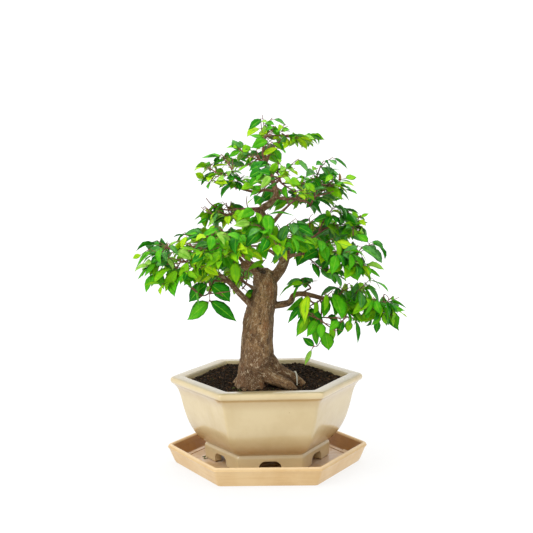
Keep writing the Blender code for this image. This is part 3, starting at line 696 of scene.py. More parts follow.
# where each root leaves the trunk, its legs, and its radius at either end
ROOTS = (
    ((-10, -36, 142), ((23, -26, -24), (22, -20, -20), (14, -17, -40)), 13.5, 4),
    ((-4, -22, 158), ((25, -9, -43), (22, -6, -26), (22, -3, -34)), 14, 4.5),
    ((-24, -30, 140), ((18, -120, -48), (14, -112, -40)), 15, 9),
    ((-22, -26, 142), ((20, 150, -48), (16, 146, -38)), 13, 8),
    ((-16, -20, 146), ((24, 98, -42), (22, 110, -32)), 15, 7),
)
# bough: its parent, the share of it where it leaves, the places it runs through (column, row
# and depth in mm), and its radius in mm at root and tip
BOUGHS = {
    "leader": ("trunk", 0.84, ((281, 268, -6), (285, 252, -4), (277, 238, -1), (268, 223, 2),
                               (261, 211, 3), (270, 203, 4), (276, 194, 5), (273, 182, 6),
                               (267, 168, 6), (264, 157, 5)), 8.6, 2.6),
    "bough_left_low": ("trunk", 0.61, ((240, 294, -18), (228, 281, -24), (214, 272, -28)), 5.4, 2.8),
    "bough_left_hang": ("bough_left_low", 0.75, ((217, 281, -38),), 2.2, 1.5),
    "bough_left_back": ("trunk", 0.92, ((249, 268, -2), (242, 261, 4)), 5.6, 3.2),
    "bough_front_left": ("trunk", 0.93, ((252, 264, -30), (243, 256, -50)), 4.5, 2.4),
    "bough_right_low": ("trunk", 0.67, ((288, 303, -14), (294, 295, -18), (305, 294, -22),
                                        (322, 298, -26), (336, 299, -28)), 5.5, 2.5),
    "bough_right_hang": ("bough_right_low", 0.79, ((321, 302, -38),), 2.2, 1.5),
    "bough_right_inner": ("bough_right_low", 0.56, ((307, 290, -18),), 1.8, 1.3),
    "bough_back_low": ("trunk", 0.76, ((256, 290, 22), (250, 286, 42)), 4.5, 2.6),
    "bough_right_mid_low": ("leader", 0.24, ((294, 255, -22), (303, 254, -36)), 3.2, 2.2),
    "bough_right_mid": ("leader", 0.30, ((295, 245, -8), (306, 241, -12)), 3.5, 2.5),
    "bough_centre_front": ("leader", 0.27, ((281, 247, -25), (277, 243, -42)), 3.0, 2.0),
    "bough_back_left": ("leader", 0.21, ((272, 252, 25), (260, 247, 48)), 3.6, 2.2),
    "bough_back_right": ("leader", 0.35, ((289, 246, 28), (297, 248, 52)), 3.4, 2.2),
    "bough_back_upper": ("leader", 0.47, ((280, 214, 26), (288, 206, 44)), 3.0, 1.9),
    "bough_left_mid": ("leader", 0.58, ((253, 209, -2), (244, 210, -6)), 3.2, 2.0),
    "bough_right_upper": ("leader", 0.72, ((285, 199, 2), (296, 199, 0), (307, 202, -2)), 2.6, 1.8),
    "bough_left_upper": ("leader", 0.76, ((265, 190, 6), (256, 192, 8), (246, 190, 8),
                                          (239, 188, 8)), 2.6, 1.8),
    "bough_centre_upper": ("leader", 0.81, ((277, 182, -10), (279, 180, -22)), 2.4, 1.7),
    "bough_back_top": ("leader", 0.89, ((267, 168, 20), (266, 166, 30)), 2.2, 1.6),
    "bough_top_right": ("leader", 0.955, ((272, 149, 4), (284, 138, 3)), 2.6, 1.6),
}
STUB = ((258, 268, -14), (243, 264.5, -34))   # a pruned limb that ends in the fork
STUB_RADII = (8.5, 6.0)
COARSE_STEPS = 2                          # to each leg, where one limb finds its place on another
FINE_STEPS = 7                            # to each leg, where the limb's own skin is drawn


def bearing(heading, rise):
    """Unit vector with a heading turned from +X and a rise above level, in degrees."""
    turn = math.radians(heading)
    climb = math.radians(rise)
    flat = math.cos(climb)
    return Vector((math.cos(turn) * flat, math.sin(turn) * flat, math.sin(climb)))


def run_legs(start, legs):
    """Ends of straight legs, each with a length in mm, a heading and a rise."""
    points = [Vector(start)]
    for length, heading, rise in legs:
        points.append(points[-1] + bearing(heading, rise) * length * MM)
    return points


def smooth_path(points, steps):
    """A curve through the points, with the given number of steps to each leg."""
    first = points[0] * 2 - points[1]
    last = points[-1] * 2 - points[-2]
    knots = [first, *points, last]
    path = [points[0]]
    for a, b, c, d in zip(knots, knots[1:], knots[2:], knots[3:]):
        for step in range(1, steps + 1):
            t = step / steps
            path.append(0.5 * (2 * b + (c - a) * t + (2 * a - 5 * b + 4 * c - d) * t ** 2
                               + (3 * b - a - 3 * c + d) * t ** 3))
    return path


def point_along(path, share):
    """The point at a share of a path's length."""
    lengths = [(b - a).length for a, b in zip(path, path[1:])]
    left = share * sum(lengths)
    for (a, b), length in zip(zip(path, path[1:]), lengths):
        if left <= length:
            return a.lerp(b, left / length)
        left -= length
    return path[-1].copy()


def taper(first, last, count):
    """Radii that fall evenly from the first to the last."""
    return [first + (last - first) * i / (count - 1) for i in range(count)]


def lay_out_limbs():
    """For the trunk and each bough: coarse path, fine path and radii along the fine one."""
    centres = [Vector((x, y, height)) * MM for height, x, y, _ in TRUNK if height * MM > GROUND]
    foot = Vector((TRUNK[1][1] * MM, TRUNK[1][2] * MM, GROUND))
    radii = [radius * MM for height, _, _, radius in TRUNK if height * MM > GROUND]
    limbs = {"trunk": ([foot, *centres], [foot, *centres], [TRUNK[1][3] * MM, *radii])}
    for name, (parent, at, places, thick, thin) in BOUGHS.items():
        knots = [point_along(limbs[parent][0], at), *(seen_at(*place) for place in places)]
        fine = smooth_path(knots, FINE_STEPS)
        limbs[name] = (smooth_path(knots, COARSE_STEPS), fine,
                       taper(thick * MM, thin * MM, len(fine)))
    return limbs


def other_runs():
    """Paths and radii of the roots and of the pruned stub."""
    rows = [(run_legs(Vector(start) * MM, legs), thick, thin) for start, legs, thick, thin in ROOTS]
    rows.append(([seen_at(*place) for place in STUB], *STUB_RADII))
    paths = [(smooth_path(knots, FINE_STEPS), thick, thin) for knots, thick, thin in rows]
    return [(path, taper(thick * MM, thin * MM, len(path))) for path, thick, thin in paths]


LIMBS = lay_out_limbs()
print("limbs:", len(LIMBS), "leader ends at", [round(x, 3) for x in LIMBS["leader"][0][-1]])

# %% [markdown]
# ## Tubes of any thickness
# A curve with a round bevel is a tube whose thickness follows each point's radius, so one
# curve object with many splines makes all the limbs, or all the twigs, at once. It is turned
# into a mesh before it is used. `bevel_resolution` 0 gives four sides, and each step two more.

# %% Turn runs of points into tubes
def tubes(runs, resolution):
    """A bmesh of closed tubes, one for each (points, radii)."""
    curve = bpy.data.curves.new("runs", "CURVE")
    curve.dimensions = "3D"
    curve.bevel_depth = 1.0
    curve.bevel_resolution = resolution
    curve.use_fill_caps = True
    for points, radii in runs:
        spline = curve.splines.new("POLY")
        spline.points.add(len(points) - 1)
        spline.points.foreach_set("co", [part for point in points for part in (*point, 1)])
        spline.points.foreach_set("radius", radii)
    holder = bpy.data.objects.new("runs", curve)
    bpy.context.scene.collection.objects.link(holder)
    bpy.context.view_layer.update()
    graph = bpy.context.evaluated_depsgraph_get()
    mesh = bpy.data.meshes.new_from_object(holder.evaluated_get(graph))
    bpy.data.objects.remove(holder, do_unlink=True)
    bpy.data.curves.remove(curve)
    bm = bmesh.new()
    bm.from_mesh(mesh)
    bpy.data.meshes.remove(mesh)
    bmesh.ops.remove_doubles(bm, verts=bm.verts, dist=1e-6)
    bmesh.ops.recalc_face_normals(bm, faces=bm.faces)
    return bm


def trunk_stations():
    """Stations between the trunk's own, on smooth curves through them."""
    knots = [Vector((height, x, y, radius)) for height, x, y, radius in TRUNK]
    return [point * MM for point in smooth_path(knots, 4)]


def trunk_skin(bm):
    """The fluted trunk: rings of a circle, moved to each station and bridged."""
    last = None
    rings = trunk_stations()
    for number, (height, x, y, radius) in enumerate(rings):
        made = bmesh.ops.create_circle(bm, segments=48, radius=1, cap_ends=number in (0, len(rings) - 1))
        ring = made["verts"]
        for vert in ring:
            turn = math.atan2(vert.co.y, vert.co.x)
            swell = 1 + sum(depth * math.cos(lobes * (turn - math.radians(first)))
                            for lobes, depth, first in FLUTES)
            reach = radius * swell
            vert.co = Vector((x + reach * math.cos(turn), y + reach * math.sin(turn), height))
        edges = [edge for vert in ring for edge in vert.link_edges
                 if edge.other_vert(vert) in ring]
        edges = list(dict.fromkeys(edges))
        if last:
            bmesh.ops.bridge_loops(bm, edges=last + edges)
        last = edges


# %% [markdown]
# ## One skin for trunk, roots and boughs
# Limbs that only pass into one another leave hard creases. A voxel remesh turns all the
# overlapping tubes into one watertight skin of even quads, and a little smoothing fillets
# every fork, as growing wood does. The relief is then pushed into the skin by noise, read
# along the limbs: slow swellings, ridges of grain, and the pits of old twig scars.

# %% Skin the wood and carve its relief
VOXEL = 0.95 * MM
# the knot hole in the fork is dented into the wood; its darkness is painted shade
HOLLOW_AT = seen_at(263, 267.5, -23)      # the dark knot hole in the fork
HOLLOW_SIZE = 9.5 * MM
# burls on the wood: place and size in mm
BURLS = (
    ((-34, -18, 209), 5), ((-35, -16, 222), 4), ((-31, -20, 199), 4), ((-20, -34, 226), 6),
    ((-2, -30, 240), 6), ((12, -22, 236), 7), ((-22, -26, 248), 6), ((-28, -40, 165), 6),
    ((14, -20, 262), 5), ((-36, -36, 150), 5), ((6, -30, 196), 5),
)


def limb_samples():
    """A search tree of the limbs' middles, and for each its radius, frame and run."""
    rows = []
    runs = [(path, radii) for _, path, radii in LIMBS.values()] + other_runs()
    for number, (path, radii) in enumerate(runs):
        across = None
        run = number * 0.37
        for i, (point, radius) in enumerate(zip(path, radii)):
            ahead = (path[min(i + 1, len(path) - 1)] - path[max(i - 1, 0)]).normalized()
            if across is None:
                across = ahead.cross(Vector((0, 1, 0))).normalized()
            across = (across - ahead * across.dot(ahead)).normalized()
            if i:
                run += (point - path[i - 1]).length
            rows.append((point, radius, across, ahead.cross(across), ahead, run))
    finder = KDTree(len(rows))
    for i, row in enumerate(rows):
        finder.insert(row[0], i)
    finder.balance()
    return finder, rows


def grain_of(point, finder, rows):
    """A point's place across its limb and, shortened, along it; and the limb's radius."""
    best = min(((place - point).length - rows[i][1], i) for place, i, _ in finder.find_n(point, 6))
    middle, radius, across, side, ahead, run = rows[best[1]]
    off = point - middle
    return Vector((off.dot(across), off.dot(side), (run + off.dot(ahead)) * 0.5)), radius


def relief_at(point, grain, radius):
    """How far the bark stands out at a point, in metres, and how deep it lies, 0 to 1."""
    size = min(1.0, 0.22 + radius / (23 * MM))
    swell = noise.noise(grain * 55) * 1.7
    ridges = noise.fractal(grain * 150, 0.9, 2.1, 3)
    plates = abs(noise.noise(grain * 95 + Vector((7, 3, 1))))
    pits = noise.noise(grain * 420)
    rise = (swell + ridges * 0.5 + min(plates, 0.25) * 1.3 - 0.3 + pits * 0.2) * size * MM
    deep = max(0.0, 0.10 - plates) * 4 + max(0.0, -ridges - 0.3) * 0.8
    return rise, deep


def make_wood():
    """The trunk, roots and boughs as one skin with the bark's relief."""
    runs = [(fine, radii) for name, (_, fine, radii) in LIMBS.items() if name != "trunk"]
    bm = tubes(runs + other_runs(), 4)
    trunk_skin(bm)
    mesh = bpy.data.meshes.new("bonsai_wood")
    bm.to_mesh(mesh)
    bm.free()
    wood = bpy.data.objects.new("bonsai_wood", mesh)
    bpy.context.scene.collection.objects.link(wood)
    remesh = wood.modifiers.new("skin", "REMESH")
    remesh.mode = "VOXEL"
    remesh.voxel_size = VOXEL
    fillet = wood.modifiers.new("fillet", "SMOOTH")
    fillet.factor = 0.5
    fillet.iterations = 5
    bake_modifiers(wood)
    carve(wood.data)
    wood.data.materials.append(BARK)
    wood.data.shade_smooth()
    return settle(wood, LIMBS)


def carve(mesh):
    """Push the relief into the skin and keep what the finish needs as attributes."""
    finder, rows = limb_samples()
    bm = bmesh.new()
    bm.from_mesh(mesh)
    bm.normal_update()
    grain_layer = bm.verts.layers.float_vector.new("grain")
    hollow_shade_layer = bm.verts.layers.float.new("hollow_shade")
    slender_layer = bm.verts.layers.float.new("slender")
    moves = []
    for vert in bm.verts:
        grain, radius = grain_of(vert.co, finder, rows)
        rise, deep = relief_at(vert.co, grain, radius)
        for place, size in BURLS:
            near = (vert.co - Vector(place) * MM).length / (size * MM)
            if near < 2:
                rise += 1.9 * MM * math.exp(-near * near * 1.3)
        # the knot hole: a dent, with its depth kept for the painted shade
        hole = (vert.co - HOLLOW_AT).length / HOLLOW_SIZE
        if hole < 1.6:
            dent = math.exp(-hole * hole * 1.8)
            rise -= 8.5 * MM * dent
            deep += 2.4 * dent
        vert[grain_layer] = grain
        vert[hollow_shade_layer] = min(1.0, deep)
        vert[slender_layer] = max(0.0, min(1.0, 1.35 - radius / (4.2 * MM)))
        moves.append(vert.normal * rise)
    for vert, move in zip(bm.verts, moves):
        vert.co += move
    bm.to_mesh(mesh)
    bm.free()


wood = make_wood()
print("wood:", len(wood.data.polygons), "faces,", len(wood.data.vertices), "points")

# %% [markdown]
# ## Greens by the spray
# Leaves of one spray are the same age, so each spray has one green: deep where it is old,
# vivid in the middle, yellow-green where it is new. Two greens are painted light: a blue-grey
# one paints the sky's reflection on glossy tops, and a pale one the lit upper sides. The greens
# are plain colours, each a material of its own, varied only by slow noise between two close
# shades; the midrib has its own narrow faces in a paler green.

# %% Leaf, rib and twig finishes
def leaf_finish(name, dark, light, rough):
    """One green, between two close shades, with fine veins in its gloss."""
    leaf = Finish(name, Specular_IOR_Level=0.18)
    place = leaf.place()
    cloud = leaf.clouds(place, 130, detail=2)
    blade = leaf.node("ShaderNodeUVMap", {"uv_map": "blade"})
    across, along, _ = leaf.parts(blade)
    slant = along - (across - 0.5).math("ABSOLUTE") * 0.55
    vein = (slant * 9).math("FRACT")
    groove = 1 - (vein - 0.5).math("ABSOLUTE") * 2
    fine = leaf.clouds(place, 900, detail=2)
    normal = leaf.bump(groove.between(0.0, 0.3), 0.00035, under=leaf.bump(fine, 0.00015))
    return leaf.use(Base_Color=leaf.mix(tint(*dark), tint(*light), cloud.between(0.3, 0.7)),
                    Roughness=rough + fine * 0.15, Normal=normal).material


GREENS = {
    "leaf_deep": ((24, 120, 0), (44, 146, 0), 0.45),
    "leaf_vivid": ((62, 164, 0), (92, 184, 0), 0.45),
    "leaf_fresh": ((110, 190, 0), (140, 206, 0), 0.46),
    "leaf_new": ((156, 212, 0), (184, 226, 16), 0.46),
    # painted reflection: a blue-grey green for the sky's sheen on glossy leaf tops
    "leaf_grey": ((58, 134, 40), (94, 164, 76), 0.36),
    # painted light: a pale green for the lit upper sides of leaves
    "leaf_pale": ((132, 194, 56), (162, 214, 86), 0.46),
    "leaf_rib": ((96, 178, 20), (124, 194, 40), 0.5),
    "leaf_dry": ((176, 132, 86), (206, 164, 116), 0.6),
    "leaf_tip": ((120, 72, 34), (150, 96, 48), 0.55),
}
LEAF_FINISHES = {name: leaf_finish(name, *row) for name, row in GREENS.items()}


def twig_finish():
    """Thin reddish bark with pale flecks."""
    twig = Finish("twig_bark")
    place = twig.place()
    cloud = twig.clouds(place, 220, detail=3)
    fine = twig.clouds(place, 1200, detail=2)
    color = twig.mix(tint(104, 58, 44), tint(150, 100, 78), cloud.between(0.35, 0.7))
    color = twig.mix(color, tint(176, 140, 112), fine.between(0.6, 0.8) * 0.4)
    return twig.use(Base_Color=color, Roughness=0.6 + fine * 0.25,
                    Normal=twig.bump(fine, 0.0004)).material


TWIG_BARK = twig_finish()
print("leaf finishes:", *LEAF_FINISHES)

# %% [markdown]
# ## Spaces that the leaves keep to
# The crown is made of masses, each in an ellipsoid space at the tip of a bough. A stem grows
# on from the bough through the middle of its space, side twigs leave it in turn to either
# side, and a twig stops where it would leave its space or come nearer to a neighbour's. The
# spaces lie where those of the solids lie, so the crown keeps its outline and its gaps.

# %% Measures of the masses, and their spaces
SEED = 18
STEM_FOOT = 6 * MM
STEM_STEP = 21 * MM
TWIG_STEP = 19 * MM
TWIG_BENDS = 2
TWIG_LIMIT = 0.82
TWIG_SHARE = 0.03
TWIG_LIFTS = (42, -18, 8, 60, -30, 30)
TWIG_WANDER = 12
TWIG_DROOP = (4, 18)
TWIG_SPREAD = (40, 75)
PAIR_STAGGER = 4 * MM
# mass on a bough: the middle of its space, as column, row and depth in mm, then half its
# length, width and height in mm
MASSES = {
    "leader": ((267, 136, 6), (42, 38, 31)),
    "bough_left_low": ((181, 261, -36), (57, 50, 42)),
    "bough_left_hang": ((208, 294, -56), (40, 36, 31)),
    "bough_left_back": ((216, 243, 12), (52, 46, 28)),
    "bough_front_left": ((222, 244, -84), (50, 46, 31)),
    "bough_right_low": ((360, 308, -30), (56, 48, 46)),
    "bough_right_hang": ((321, 318, -58), (46, 40, 43)),
    "bough_right_inner": ((304, 281, -34), (30, 26, 17)),
    "bough_back_low": ((236, 278, 78), (44, 42, 28)),
    "bough_right_mid_low": ((338, 258, -44), (60, 46, 35)),
    "bough_right_mid": ((331, 226, -6), (48, 48, 36)),
    "bough_centre_front": ((272, 235, -80), (48, 52, 40)),
    "bough_back_left": ((232, 246, 88), (52, 52, 30)),
    "bough_back_right": ((318, 242, 98), (56, 52, 34)),
    "bough_back_upper": ((302, 196, 82), (48, 48, 38)),
    "bough_left_mid": ((223, 217, -16), (40, 42, 27)),
    "bough_right_upper": ((321, 185, -4), (44, 44, 42)),
    "bough_left_upper": ((228, 174, 4), (40, 44, 38)),
    "bough_centre_upper": ((282, 184, -52), (44, 46, 36)),
    "bough_back_top": ((260, 160, 60), (40, 40, 30)),
    "bough_top_right": ((297, 139, 2), (36, 34, 19)),
}


class Space:
    """The ellipsoid that one mass keeps to, turned to point away from its bough."""

    def __init__(self, tip, middle, halves):
        self.centre = seen_at(*middle)
        self.halves = Vector(halves) * MM
        heading = math.degrees(math.atan2(self.centre.y - tip.y, self.centre.x - tip.x))
        self.turn = Matrix.Rotation(math.radians(-heading), 3, "Z")
        self.far = self.centre + bearing(heading, 0) * self.halves.x * 0.72

    def reach(self, point):
        """0 at the middle of the space and 1 at its edge."""
        local = self.turn @ (point - self.centre)
        return Vector(a / b for a, b in zip(local, self.halves)).length

    def holds(self, point, spaces, limit, share):
        """Whether a point lies in this space and in no neighbour's share of it."""
        own = self.reach(point)
        if own > limit:
            return False
        return all(own + share < other.reach(point) for other in spaces if other is not self)


SPACES = {name: Space(LIMBS[name][0][-1], *row) for name, row in MASSES.items()}
print("spaces:", len(SPACES))

# %% [markdown]
# ## Growing the twigs
# Each mass grows its stem and its side twigs by the rule of its solid, from the same seed, so
# they lie close to the solid's twigs. Then finer twigs go on from them: every twig runs on a
# little past its end, and shoots leave it to either side in turn. A shoot is kept only where it
# stays in its mass's space and clear of the wood.

# %% Stems, twigs and shoots
WOOD_TREE = BVHTree.FromPolygons([vert.co for vert in wood.data.vertices],
                                 [tuple(face.vertices) for face in wood.data.polygons])
SHOOT_LIMIT = 1.08                        # how much of its space a mass's shoots use
SHOOT_STEP = 11 * MM
SHOOT_SPREAD = (38, 62)


def grow_stem(space, tip, ahead):
    """Nodes of the stem: coaxial with its bough, then bent through the middle of the space."""
    start = tip + ahead * 0.3 * MM
    straight = start + ahead * STEM_FOOT
    fine = smooth_path([start, straight, space.centre, space.far], 10)[10:]
    nodes = [start, straight]
    run = 0.0
    for a, b in zip(fine, fine[1:]):
        run += (b - a).length
        if run >= STEM_STEP:
            nodes.append(b)
            run = 0.0
    return nodes


def grow_twig(start, heading, rise, space, spaces, rng):
    """Bends of a twig that wanders out, and droops, until it would leave its space."""
    bends = [start]
    for _ in range(TWIG_BENDS):
        point = bends[-1] + bearing(heading, rise) * TWIG_STEP * rng.uniform(0.85, 1.1)
        if not space.holds(point, spaces, TWIG_LIMIT, TWIG_SHARE):
            break
        bends.append(point)
        heading += rng.gauss(0, TWIG_WANDER)
        rise -= rng.uniform(*TWIG_DROOP)
    return bends


def run_on(points, steps, space, spaces, rng, spread=0.0, lift=0.0):
    """Bends of a finer shoot that leaves the end of some points, with a kink at each node."""
    along = points[-1] - points[-2]
    heading = math.degrees(math.atan2(along.y, along.x)) + spread
    rise = math.degrees(math.asin(max(-1, min(1, along.z / along.length)))) * 0.6 + lift
    bends = [points[-1]]
    for _ in range(steps):
        point = bends[-1] + bearing(heading, rise) * SHOOT_STEP * rng.uniform(0.8, 1.15)
        if not space.holds(point, spaces, SHOOT_LIMIT, 0.0):
            break
        bends.append(point)
        heading += rng.gauss(0, 16)
        rise -= rng.uniform(-4, 15)
    return bends


def clear_of_wood(points):
    """Whether a run of points stays out of the trunk and boughs."""
    for a, b in zip(points, points[1:]):
        step = b - a
        if WOOD_TREE.ray_cast(a, step.normalized(), step.length)[0] is not None:
            return False
    return True


def side_twigs(stem, space, spaces, rng):
    """The side twigs of a stem, drawn as the mass's solid draws them."""
    twigs = []
    for number, (a, b) in enumerate(zip(stem[1:], stem[2:] + [stem[-1] * 2 - stem[-2]])):
        along = b - a
        heading = math.degrees(math.atan2(along.y, along.x))
        for side in (1, -1):
            rise = TWIG_LIFTS[(2 * number + (side < 0)) % len(TWIG_LIFTS)] + rng.uniform(-6, 6)
            turn = side * rng.uniform(*TWIG_SPREAD)
            foot = a - along.normalized() * PAIR_STAGGER * (1 + (side < 0))
            twig = grow_twig(foot, heading + turn, rise, space, spaces, rng)
            if len(twig) > 1:
                twigs.append(twig)
    return twigs


def shoots_of(twig, space, spaces, rng):
    """Finer shoots: one runs on from the twig's tip, others leave it to either side."""
    shoots = [run_on(twig, 2, space, spaces, rng, lift=rng.uniform(-6, 10))]
    side = rng.choice((1, -1))
    for share in (0.3, 0.62, 0.9):
        node = point_along(twig, share)
        behind = node - (twig[-1] - twig[-2]).normalized() * 4 * MM
        shoots.append(run_on([behind, node], 2, space, spaces, rng,
                             side * rng.uniform(*SHOOT_SPREAD), rng.uniform(-4, 26)))
        side = -side
    return [shoot for shoot in shoots if len(shoot) > 1 and clear_of_wood(shoot)]


def grow_mass(name):
    """(points, root radius, tip radius) of every twig of a mass, its stem first."""
    rng = random.Random(f"{SEED} {name.replace('bough_', '')}_foliage")
    space = SPACES[name]
    spaces = list(SPACES.values())
    path = LIMBS[name][0]
    stem = grow_stem(space, path[-1], (path[-1] - path[-2]).normalized())
    stem_radius = max(BOUGHS[name][4] * 0.9, 1.5) * MM
    grown = [(stem, stem_radius, 0.8 * MM)]
    for twig in side_twigs(stem, space, spaces, rng):
        if not clear_of_wood(twig[1:]):
            continue
        grown.append((twig, 1.15 * MM, 0.75 * MM))
        fine = random.Random(f"{name} {len(grown)}")
        for shoot in shoots_of(twig, space, spaces, fine):
            grown.append((shoot, 0.7 * MM, 0.4 * MM))
    return grown


SPRAYS = {name: grow_mass(name) for name in MASSES}
print("twigs and shoots:", sum(len(grown) for grown in SPRAYS.values()))

# %% [markdown]
# ## One leaf, many times
# A jaboticaba leaf is an ellipse with a drawn-out drip tip, folded a little along its midrib
# and drooping at its end. One template is shaped from a grid: its rows are narrowed to the
# outline, its two ends nearly to points, and a turned copy under it closes it to a thin
# shell. Every leaf is then the same few dozen faces, bent, scaled and turned by arrays.

# %% Shape the leaf template
LEAF_ROWS = (0.0, 0.13, 0.33, 0.56, 0.78, 0.91, 1.0)      # along the blade
LEAF_SPANS = (0.06, 0.60, 0.98, 0.92, 0.50, 0.15, 0.02)   # its width there
LEAF_COLUMNS = (-1.0, -0.52, -0.07, 0.07, 0.52, 1.0)      # across it; the rib is the middle pair


def leaf_template():
    """Points as (across, along, side of the shell), faces, and which faces are rib or tip."""
    bm = bmesh.new()
    bmesh.ops.create_grid(bm, x_segments=len(LEAF_COLUMNS) - 1, y_segments=len(LEAF_ROWS) - 1, size=1)
    columns = len(LEAF_COLUMNS) - 1
    rows = len(LEAF_ROWS) - 1
    for vert in bm.verts:
        column = round((vert.co.x + 1) / 2 * columns)
        row = round((vert.co.y + 1) / 2 * rows)
        edge = column in (0, columns) or row in (0, rows)
        vert.co = Vector((LEAF_COLUMNS[column] * LEAF_SPANS[row], LEAF_ROWS[row], 0 if edge else 1))
    under = bmesh.ops.duplicate(bm, geom=[*bm.verts, *bm.edges, *bm.faces])["geom"]
    bmesh.ops.reverse_faces(bm, faces=[part for part in under if isinstance(part, bmesh.types.BMFace)])
    for vert in (part for part in under if isinstance(part, bmesh.types.BMVert)):
        vert.co.z = -vert.co.z
    bmesh.ops.remove_doubles(bm, verts=bm.verts, dist=1e-4)
    bm.verts.index_update()
    points = np.array([vert.co for vert in bm.verts])
    faces = [[vert.index for vert in face.verts] for face in bm.faces]
    kinds = []
    for face in bm.faces:
        middle = face.calc_center_median()
        rib = abs(middle.x) < 0.02 and 0.02 < middle.y < 0.9
        kinds.append(1 if rib else 2 if middle.y > 0.93 else 0)
    bm.free()
    return points, faces, kinds


LEAF_POINTS, LEAF_FACES, LEAF_KINDS = leaf_template()
print("leaf template:", len(LEAF_POINTS), "points,", len(LEAF_FACES), "faces")

# %% [markdown]
# ## Setting the leaves
# Leaves sit in pairs along a shoot, one to either side, with one more at its tip. A leaf points
# forward and to its own side and hangs outwards; one that would leave its mass's reach, touch
# the wood or cut another leaf is tried a few more times in another stance, then skipped. Whole
# sprays share a green, with an odd leaf of the next green, and each mass has its own bias.

# %% Choose a stance for every leaf
LEAF_LENGTH = 31 * MM
LEAF_WIDTH = 16 * MM
LEAF_SPACING = 10.5 * MM
LEAF_SHARE = -0.22
LEAF_TRIES = 8
LEAF_DROOP = (0.15, 1.0)                  # how far a blade's end bends over, in radians
LEAF_STALK = 3.2 * MM
LEAF_PER_AREA = 0.027                     # leaves for each square mm of a space seen from above
# how a mass's leaves differ: their size, how many there are, how far they rise or hang (-1
# to 1), and how far past their space, from its middle, their ends may reach
HABITS = {
    "leader": (0.66, 0.42, 0.0, 1.0),
    "bough_top_right": (0.74, 1.0, -0.15, 1.35),
    "bough_back_top": (0.76, 0.8, 0.0, 1.2),
    "bough_left_upper": (0.80, 1.0, 0.0, 1.3),
    "bough_centre_upper": (0.84, 1.0, -0.05, 1.35),
    "bough_right_upper": (0.92, 1.1, -0.1, 1.25),
    "bough_left_mid": (0.86, 0.8, -0.55, 1.15),
    "bough_left_back": (0.92, 1.0, -0.15, 1.3),
    "bough_left_low": (0.98, 1.2, -0.35, 1.4),
    "bough_left_hang": (1.0, 0.04, -0.6, 1.0),
    "bough_right_hang": (1.1, 0.45, -0.6, 1.1),
    "bough_right_low": (1.04, 1.15, -0.45, 1.25),
    "bough_right_inner": (0.9, 0.8, -0.1, 1.2),
    "bough_right_mid": (0.96, 1.05, -0.2, 1.25),
    "bough_right_mid_low": (1.04, 1.1, -0.3, 1.3),
    "bough_centre_front": (1.12, 0.9, -0.4, 1.3),
}
USUAL_HABIT = (1.0, 1.0, -0.2, 1.35)
TONES = ("leaf_grey", "leaf_deep", "leaf_vivid", "leaf_fresh", "leaf_new", "leaf_pale")
# how a mass's sprays are shared out between the tones, where it differs from the rest
USUAL_SHARES = (0.14, 0.25, 0.28, 0.20, 0.06, 0.07)
# the grey green paints the sky's sheen and the pale green paints light on upper sides; the high masses take
# more of the pale one, and the upper right and back masses more of the grey one
TONE_SHARES = {
    "bough_left_low": (0.08, 0.16, 0.36, 0.30, 0.06, 0.04),
    "bough_front_left": (0.08, 0.14, 0.34, 0.30, 0.08, 0.06),
    "bough_left_hang": (0.02, 0.60, 0.36, 0.02, 0.0, 0.0),
    "bough_right_low": (0.06, 0.22, 0.36, 0.26, 0.04, 0.06),
    "bough_right_hang": (0.04, 0.30, 0.40, 0.22, 0.02, 0.02),
    "bough_right_upper": (0.26, 0.22, 0.24, 0.16, 0.04, 0.08),
    "bough_back_upper": (0.30, 0.36, 0.24, 0.10, 0.0, 0.0),
    "bough_left_upper": (0.12, 0.10, 0.26, 0.28, 0.12, 0.12),
    "bough_centre_upper": (0.14, 0.16, 0.26, 0.24, 0.08, 0.12),
    "leader": (0.10, 0.02, 0.20, 0.34, 0.16, 0.18),
    "bough_top_right": (0.06, 0.02, 0.20, 0.34, 0.18, 0.20),
    "bough_right_mid": (0.30, 0.24, 0.26, 0.14, 0.02, 0.04),
}


def leaf_places(points):
    """Roots of the leaves along a shoot, each with the side it grows on."""
    length = sum((b - a).length for a, b in zip(points, points[1:]))
    places = [(length - 0.4 * MM, 0)]
    run = length - PAIR_STAGGER
    while run > LEAF_SPACING * 0.4:
        places.append((run, 1))
        places.append((run - 1.5 * MM, -1))
        run -= LEAF_SPACING
    return [(point_along(points, run / length), side) for run, side in places]


def leaf_stand(root, along, side, hang, rng):
    """Which way a leaf points and faces: forward, to its own side, and hanging outwards."""
    flat = Vector((along.x, along.y, 0)).normalized()
    across = Vector((-flat.y, flat.x, 0)) * side
    ahead = flat * rng.uniform(0.4, 1.0) + across * rng.uniform(0.5, 1.0)
    ahead.z += rng.triangular(hang - 0.6, hang + 0.6, hang)
    outward = Vector((root.x, root.y, 0)).normalized()
    face = Vector((rng.uniform(-0.6, 0.6), rng.uniform(-0.6, 0.6), rng.uniform(0.6, 1.1)))
    return ahead.normalized(), face + outward * rng.uniform(0.0, 1.0 - hang)


def leaf_plan(root, ahead, face, length, width):
    """A leaf's two planes, coarse, for finding what it touches."""
    side = ahead.cross(face).normalized()
    middle = root + ahead * length * 0.4
    points = [root, middle - side * width / 2, root + ahead * length, middle + side * width / 2]
    return points, [(0, 1, 2), (0, 2, 3)]


def pick(shares, rng):
    """A number drawn by the given shares."""
    draw = rng.random() * sum(shares)
    for number, share in enumerate(shares):
        draw -= share
        if draw < 0:
            return number
    return len(shares) - 1


